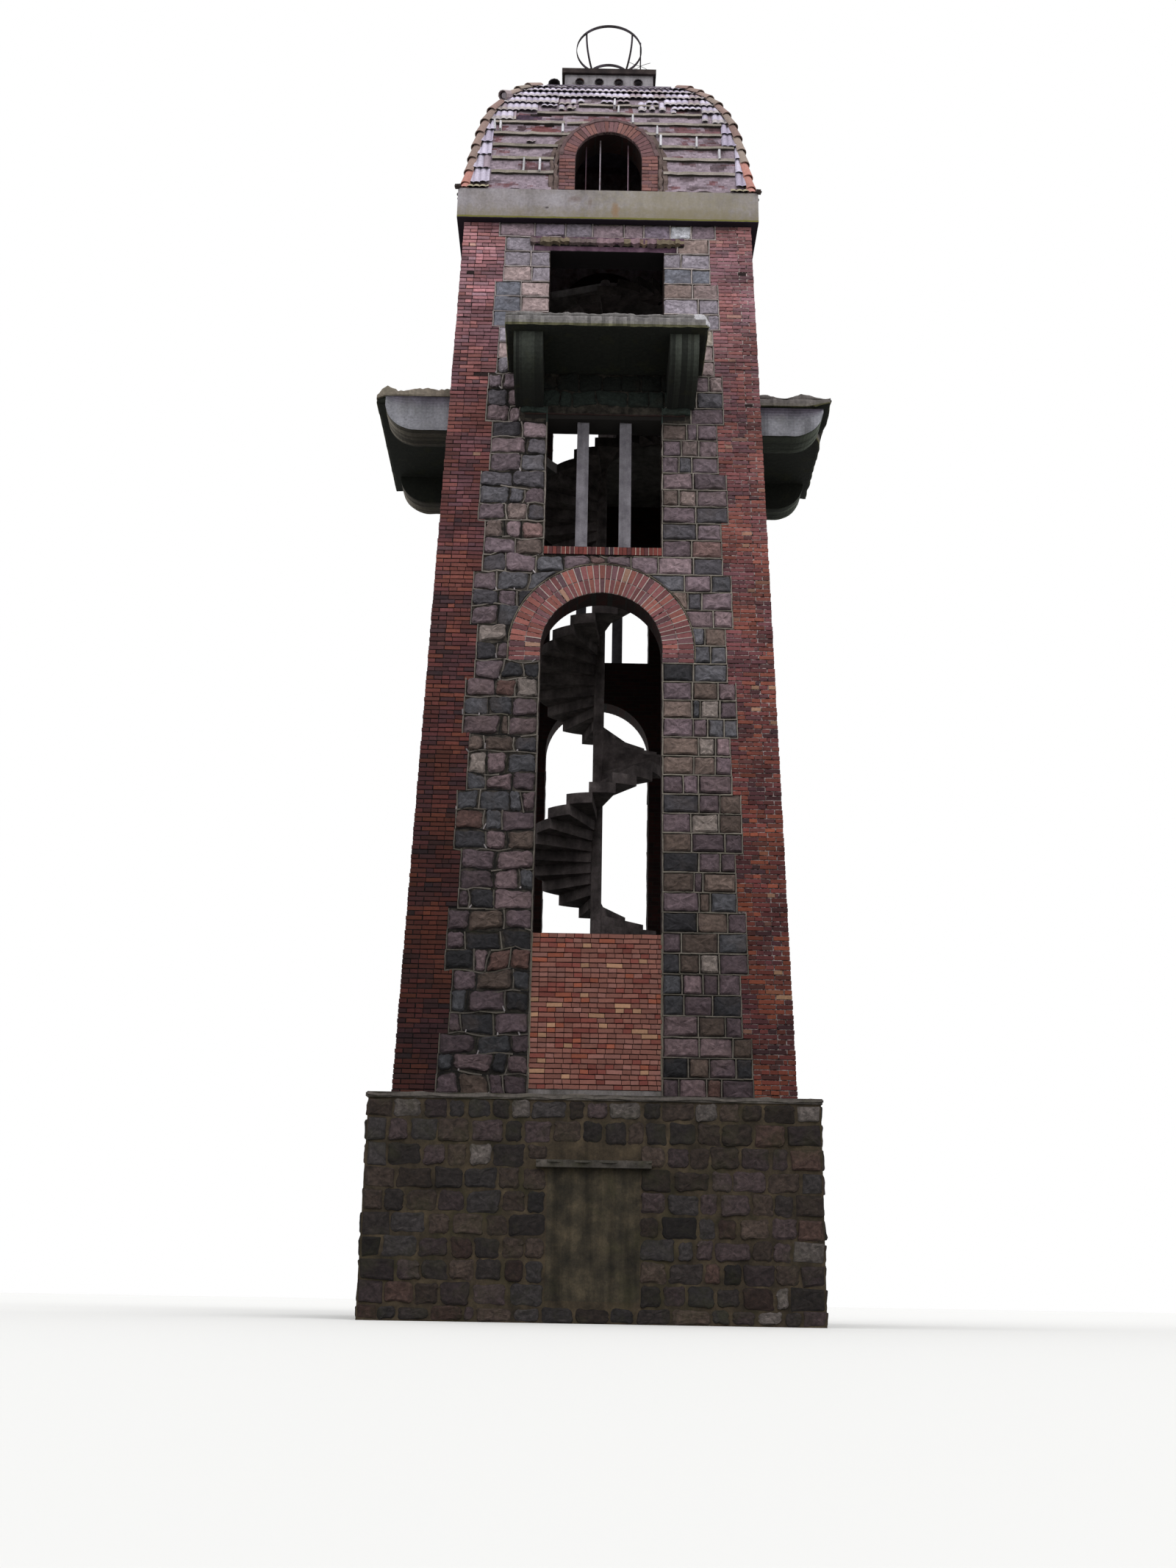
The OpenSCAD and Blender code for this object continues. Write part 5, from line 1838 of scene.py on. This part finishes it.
def roof_window(side):
    """The brick ring of a roof window, the mortar that flanks it and its bars."""
    rng = random.Random(f"roof window {side}")
    place = on_window(side)
    ring = Pile()
    outer = WINDOW_HALF + WINDOW_RING
    ring_bricks(ring, place, rng, WINDOW_HALF, outer, WINDOW_SPRING, WINDOW_RING_BRICKS, window_brick_tint)
    step = (WINDOW_SPRING - WINDOW_SILL) / WINDOW_COURSES
    for k in range(WINDOW_COURSES):
        z0 = WINDOW_SILL + k * step
        for sign in (-1, 1):
            cut = 0.12 if k % 2 else 0.18
            for u0, u1 in ((WINDOW_HALF, WINDOW_HALF + cut), (WINDOW_HALF + cut, outer)):
                a, b = spanned(sign, u0, u1)
                face_brick(ring, place, a, b, z0, z0 + step, rng, window_brick_tint(rng))
    ring.make("roof_window_bricks", brick_material, "brick", side)

    collar = Pile()
    roof = on_roof(side)
    for width, proud, away in ((0.1, 0.07, 0.02), (0.13, 0.045, 0.1)):
        line = [(COLLAR + away, z) for z in steps_of(CORNICE_TOP + 0.03, WINDOW_SPRING, 8)]
        line += arc(COLLAR + away, WINDOW_SPRING, 0.1, pi - 0.1, 34)
        line += [(-COLLAR - away, z) for z in steps_of(WINDOW_SPRING, CORNICE_TOP + 0.03, 8)]
        strip(collar, roof, line, width, proud, rng, colour(112, 96, 92), 0.02)
    # Dirt and mortar over the ring's rim
    for a0, a1 in ((0.1, 0.95), (1.0, 2.2), (2.25, 3.05)):
        line = arc(outer - 0.03, WINDOW_SPRING, a0, a1, 12)
        strip(collar, place, line, 0.1, 0.022, rng, colour(116, 94, 96), 0.014)
    collar.make("roof_window_collar", crust_material, "roof_masonry", side)

    bars = Pile()
    for u, radius, shade in WINDOW_BARS:
        if side != FRONT:
            u = -u
        top = WINDOW_SPRING + sqrt(WINDOW_HALF**2 - u**2)
        depth = WINDOW_FACE - 0.22
        path = [turned(side, u, -depth, z) for z in (WINDOW_SILL - 0.02, top + 0.02)]
        rod(bars, path, radius, shade)
    bars.make("roof_window_bars", iron_material, "iron", side)


def hip_frame(corner, z):
    """Place, tangent and outward normal of a hip at a height. Corner 0 lies between front and right."""
    r, _ = roof_at(z)
    r2, _ = roof_at(min(z + 0.02, ROOF_TOP))
    r1, _ = roof_at(min(z + 0.02, ROOF_TOP) - 0.02)
    at = Vector(turned(corner, r, -r, z))
    out = Vector(turned(corner, 1, -1, 0)).normalized()
    along = (out * (r2 - r1) * sqrt(2) + Vector((0, 0, 0.02))).normalized()
    normal = (out - along * out.dot(along)).normalized()
    return at, along, normal


def half_round(pile, start, end, normal, r0, r1, thick, tint, spread=pi / 2):
    """A half-round tile between two points, open towards the roof."""
    along = (end - start).normalized()
    normal = (normal - along * normal.dot(along)).normalized()
    side = along.cross(normal)
    steps = 10
    points = []
    for at, r in ((start, r0), (end, r1)):
        for radius in (r, r - thick):
            for k in range(steps + 1):
                a = -spread + 2 * spread * k / steps
                points.append(tuple(at + radius * (cos(a) * normal + sin(a) * side)))
    wide = steps + 1
    faces = []
    for k in range(steps):
        faces += [
            (k, k + 1, k + 1 + 2 * wide, k + 2 * wide),
            (k + wide, k + 3 * wide, k + 1 + 3 * wide, k + 1 + wide),
            (k, k + wide, k + 1 + wide, k + 1),
            (k + 2 * wide, k + 1 + 2 * wide, k + 1 + 3 * wide, k + 3 * wide),
        ]
    for k in (0, steps):
        faces.append((k, k + 2 * wide, k + 3 * wide, k + wide))
    pile.add(points, faces, tint)


HIP_JOINTS = (19.75, 19.87, 20.18, 20.51, 20.84, 21.18, 21.51, 21.85, 22.18, 22.47, 22.74, 22.99, 23.22)
LOW_HIP = colour(196, 140, 130)
# How far the hip tiles stand off the hip, by height
HIP_RAISE = ((19.8, -0.005), (20.2, -0.02), (20.7, -0.015), (21.3, 0.01), (22.2, 0.024), (23.3, 0.03))


def hip_tiles():
    rng = random.Random("hips")
    pile = Pile()
    for corner in range(4):
        for z0, z1 in zip(HIP_JOINTS, HIP_JOINTS[1:]):
            if corner == LEFT and 22.1 < z0 < 22.2:
                continue
            a, along, normal = hip_frame(corner, z0)
            b, _, _ = hip_frame(corner, z1)
            start = a - along * 0.03 + normal * (between(HIP_RAISE, z0) + 0.008 + rng.uniform(-0.004, 0.004))
            end = b + along * 0.02 + normal * (between(HIP_RAISE, z1) - 0.02)
            low = z0 < (20.1 if corner in (BACK, LEFT) else 20.4)
            shade = LOW_HIP if low else mixed(colour(158, 130, 124), colour(166, 152, 142), rng.random())
            half_round(pile, start, end, normal, 0.115, 0.095, 0.014, scaled(shade, rng.uniform(0.84, 1.1)), 1.45)
            # The mortar bed under the tile, painted dark as the shade inside the tile
            bed = [tuple(q - normal * 0.05) for q in (start, end)]
            rod(pile, bed, 0.094, colour(70, 62, 64))
    # A hip tile on the left whose lower neighbour is gone, so that its round mouth and its mortar show
    a, along, normal = hip_frame(LEFT, 22.33)
    b, _, _ = hip_frame(LEFT, 22.52)
    mouth, tail = a + normal * 0.085 + Vector((-0.01, -0.12, -0.05)), b + normal * 0.05
    along = (tail - mouth).normalized()
    half_round(pile, mouth, tail, normal, 0.096, 0.088, 0.014, colour(172, 156, 158), pi * 0.97)
    plug = mouth + along * 0.008 + Vector((0.03, 0, -0.012))
    rod(pile, [tuple(plug), tuple(tail)], 0.056, colour(178, 168, 178), 12)
    # The small cowl beside the vent block
    cowl_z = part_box("crown_slab")[1].z + 0.055
    front, back = Vector((-1.1, -1.22, cowl_z)), Vector((-1.08, -0.5, cowl_z))
    half_round(pile, front, back, UP, 0.122, 0.11, 0.018, colour(44, 40, 42), pi * 0.93)
    pile.make("hip_tiles", tile_material, "tile")


def gutters():
    """Dark tips of the lost gutter at the cornice's corners."""
    pile = Pile()
    for corner in range(4):
        def place(p, corner=corner):
            return turned(corner, *p)

        weathered_box(
            pile, (CORNICE_HALF - 0.06, -CORNICE_HALF - 0.07, CORNICE_TOP - 0.02),
            (CORNICE_HALF + 0.07, -CORNICE_HALF + 0.06, CORNICE_TOP + 0.07), 0.045, 0.016, colour(62, 52, 50), place,
        )
    pile.make("gutter_tips", iron_material, "iron")


VENT_PITCH, VENT_RIM = 0.395, 0.094


def vents():
    """The rims of the pipes in the vent block."""
    pile = Pile()
    low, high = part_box("vent_block")
    z = low.z + 0.39
    for side in SIDES:
        for k in range(4):
            u = (k - 1.5) * VENT_PITCH
            start, end = (Vector(turned(side, u, -high.x - out, z)) for out in (0.014, -0.03))
            half_round(pile, start, end, UP, VENT_RIM, VENT_RIM, 0.016, colour(40, 34, 38), pi * 0.999)
    pile.make("vent_rims", iron_material, "iron")


def wires():
    """Guy wires of the lightning rod, and the thin rod that is tied to its lower half."""
    pile = Pile()
    x, y = 0.666, 0.0
    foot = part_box("cap_slab")[1].z
    second = Vector((x - 0.055, y, foot + 0.8))
    rod(pile, [(second.x, y, foot - 0.01), tuple(second)], 0.009, IRON, 6)
    rod(pile, [tuple(second), (x - 0.2, 0.05, foot + 0.42), (x - 0.36, 0.1, foot - 0.01)], 0.007, IRON, 6)
    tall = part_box("fire_basket")[1].z
    level = tall - 0.62
    for dx, dy, dz in ((0.24, 0.1, 0.03), (0.2, -0.16, -0.06)):
        path = [
            (x - dx, y - dy, level - dz + 0.05),
            (x - dx * 0.4, y - dy * 0.4, level),
            (x, y, level + 0.01),
            (x + dx * 0.5, y + dy * 0.5, level - 0.01),
            (x + dx, y + dy, level - 0.05),
        ]
        rod(pile, path, 0.005, IRON, 6)
    pile.make("rod_wires", iron_material, "iron")


for side in SIDES:
    roof_body(side)
    roof_tiles(side)
    roof_window(side)
hip_tiles()
gutters()
vents()
wires()


# Stage, light and camera


def make_camera():
    data = bpy.data.cameras.new("camera")
    camera = in_scene("camera", data)
    flat = cos(CAMERA_PITCH)
    forward = Vector((sin(CAMERA_YAW) * flat, cos(CAMERA_YAW) * flat, sin(CAMERA_PITCH)))
    level = Vector((cos(CAMERA_YAW), -sin(CAMERA_YAW), 0))
    up = level.cross(forward)
    right = cos(CAMERA_ROLL) * level + sin(CAMERA_ROLL) * up
    top = -sin(CAMERA_ROLL) * level + cos(CAMERA_ROLL) * up
    turn = Matrix((right, top, -forward)).transposed().to_4x4()
    camera.matrix_world = Matrix.Translation(CAMERA_AT) @ turn
    data.sensor_fit = "HORIZONTAL"
    data.sensor_width = SENSOR
    data.lens = SENSOR * FOCAL_PIXELS / PHOTO_WIDTH
    data.clip_end = 500
    bpy.context.scene.camera = camera


def make_sun(name, energy, direction, size):
    data = bpy.data.lights.new(name, "SUN")
    data.energy = energy
    data.angle = radians(size)
    lamp = in_scene(name, data)
    lamp.rotation_mode = "QUATERNION"
    lamp.rotation_quaternion = Vector(direction).to_track_quat("-Z", "Y")


def seen_by_camera(tree):
    """1 for rays from the camera and for mirrored ones, else 0."""
    rays = tree.add("LightPath", {}).node.outputs
    return tree.math("MAXIMUM", rays["Is Camera Ray"], rays["Is Glossy Ray"])


SKY_LIGHT, SKY_SEEN = 0.92, 1.0


def make_world():
    world = bpy.data.worlds.new("studio")
    bpy.context.scene.world = world
    tree = Tree(world)
    strength = tree.add("MapRange", {"Value": seen_by_camera(tree), "To Min": SKY_LIGHT, "To Max": SKY_SEEN})
    background = tree.nodes["Background"].inputs
    tree.put(background["Color"], (1, 1, 1))
    tree.put(background["Strength"], strength)


FLOOR_HALF = 400
PALE_FLOOR, GRASS_LIGHT = (0.78, 0.78, 0.77), (0.13, 0.14, 0.12)


def make_floor():
    mesh = bpy.data.meshes.new("floor")
    mesh.from_pydata([turned(k, -FLOOR_HALF, -FLOOR_HALF, 0) for k in range(4)], [], [(0, 1, 2, 3)])
    floor = in_scene("floor", mesh)
    # The camera sees a pale floor, and the tower is lit from above, as over grass
    tree = new_tree("floor")
    shader = tree.nodes["Principled BSDF"].inputs
    tree.put(shader["Base Color"], tree.mix(seen_by_camera(tree), GRASS_LIGHT, PALE_FLOOR))
    tree.put(shader["Roughness"], 0.9)
    mesh.materials.append(tree.owner)


make_camera()
make_world()
make_sun("key", 1.1, (-0.3, 0.75, -0.85), 40)
make_sun("fill", 0.35, (0.7, 0.5, -0.35), 60)
make_floor()

bpy.context.scene.view_settings.view_transform = "Standard"
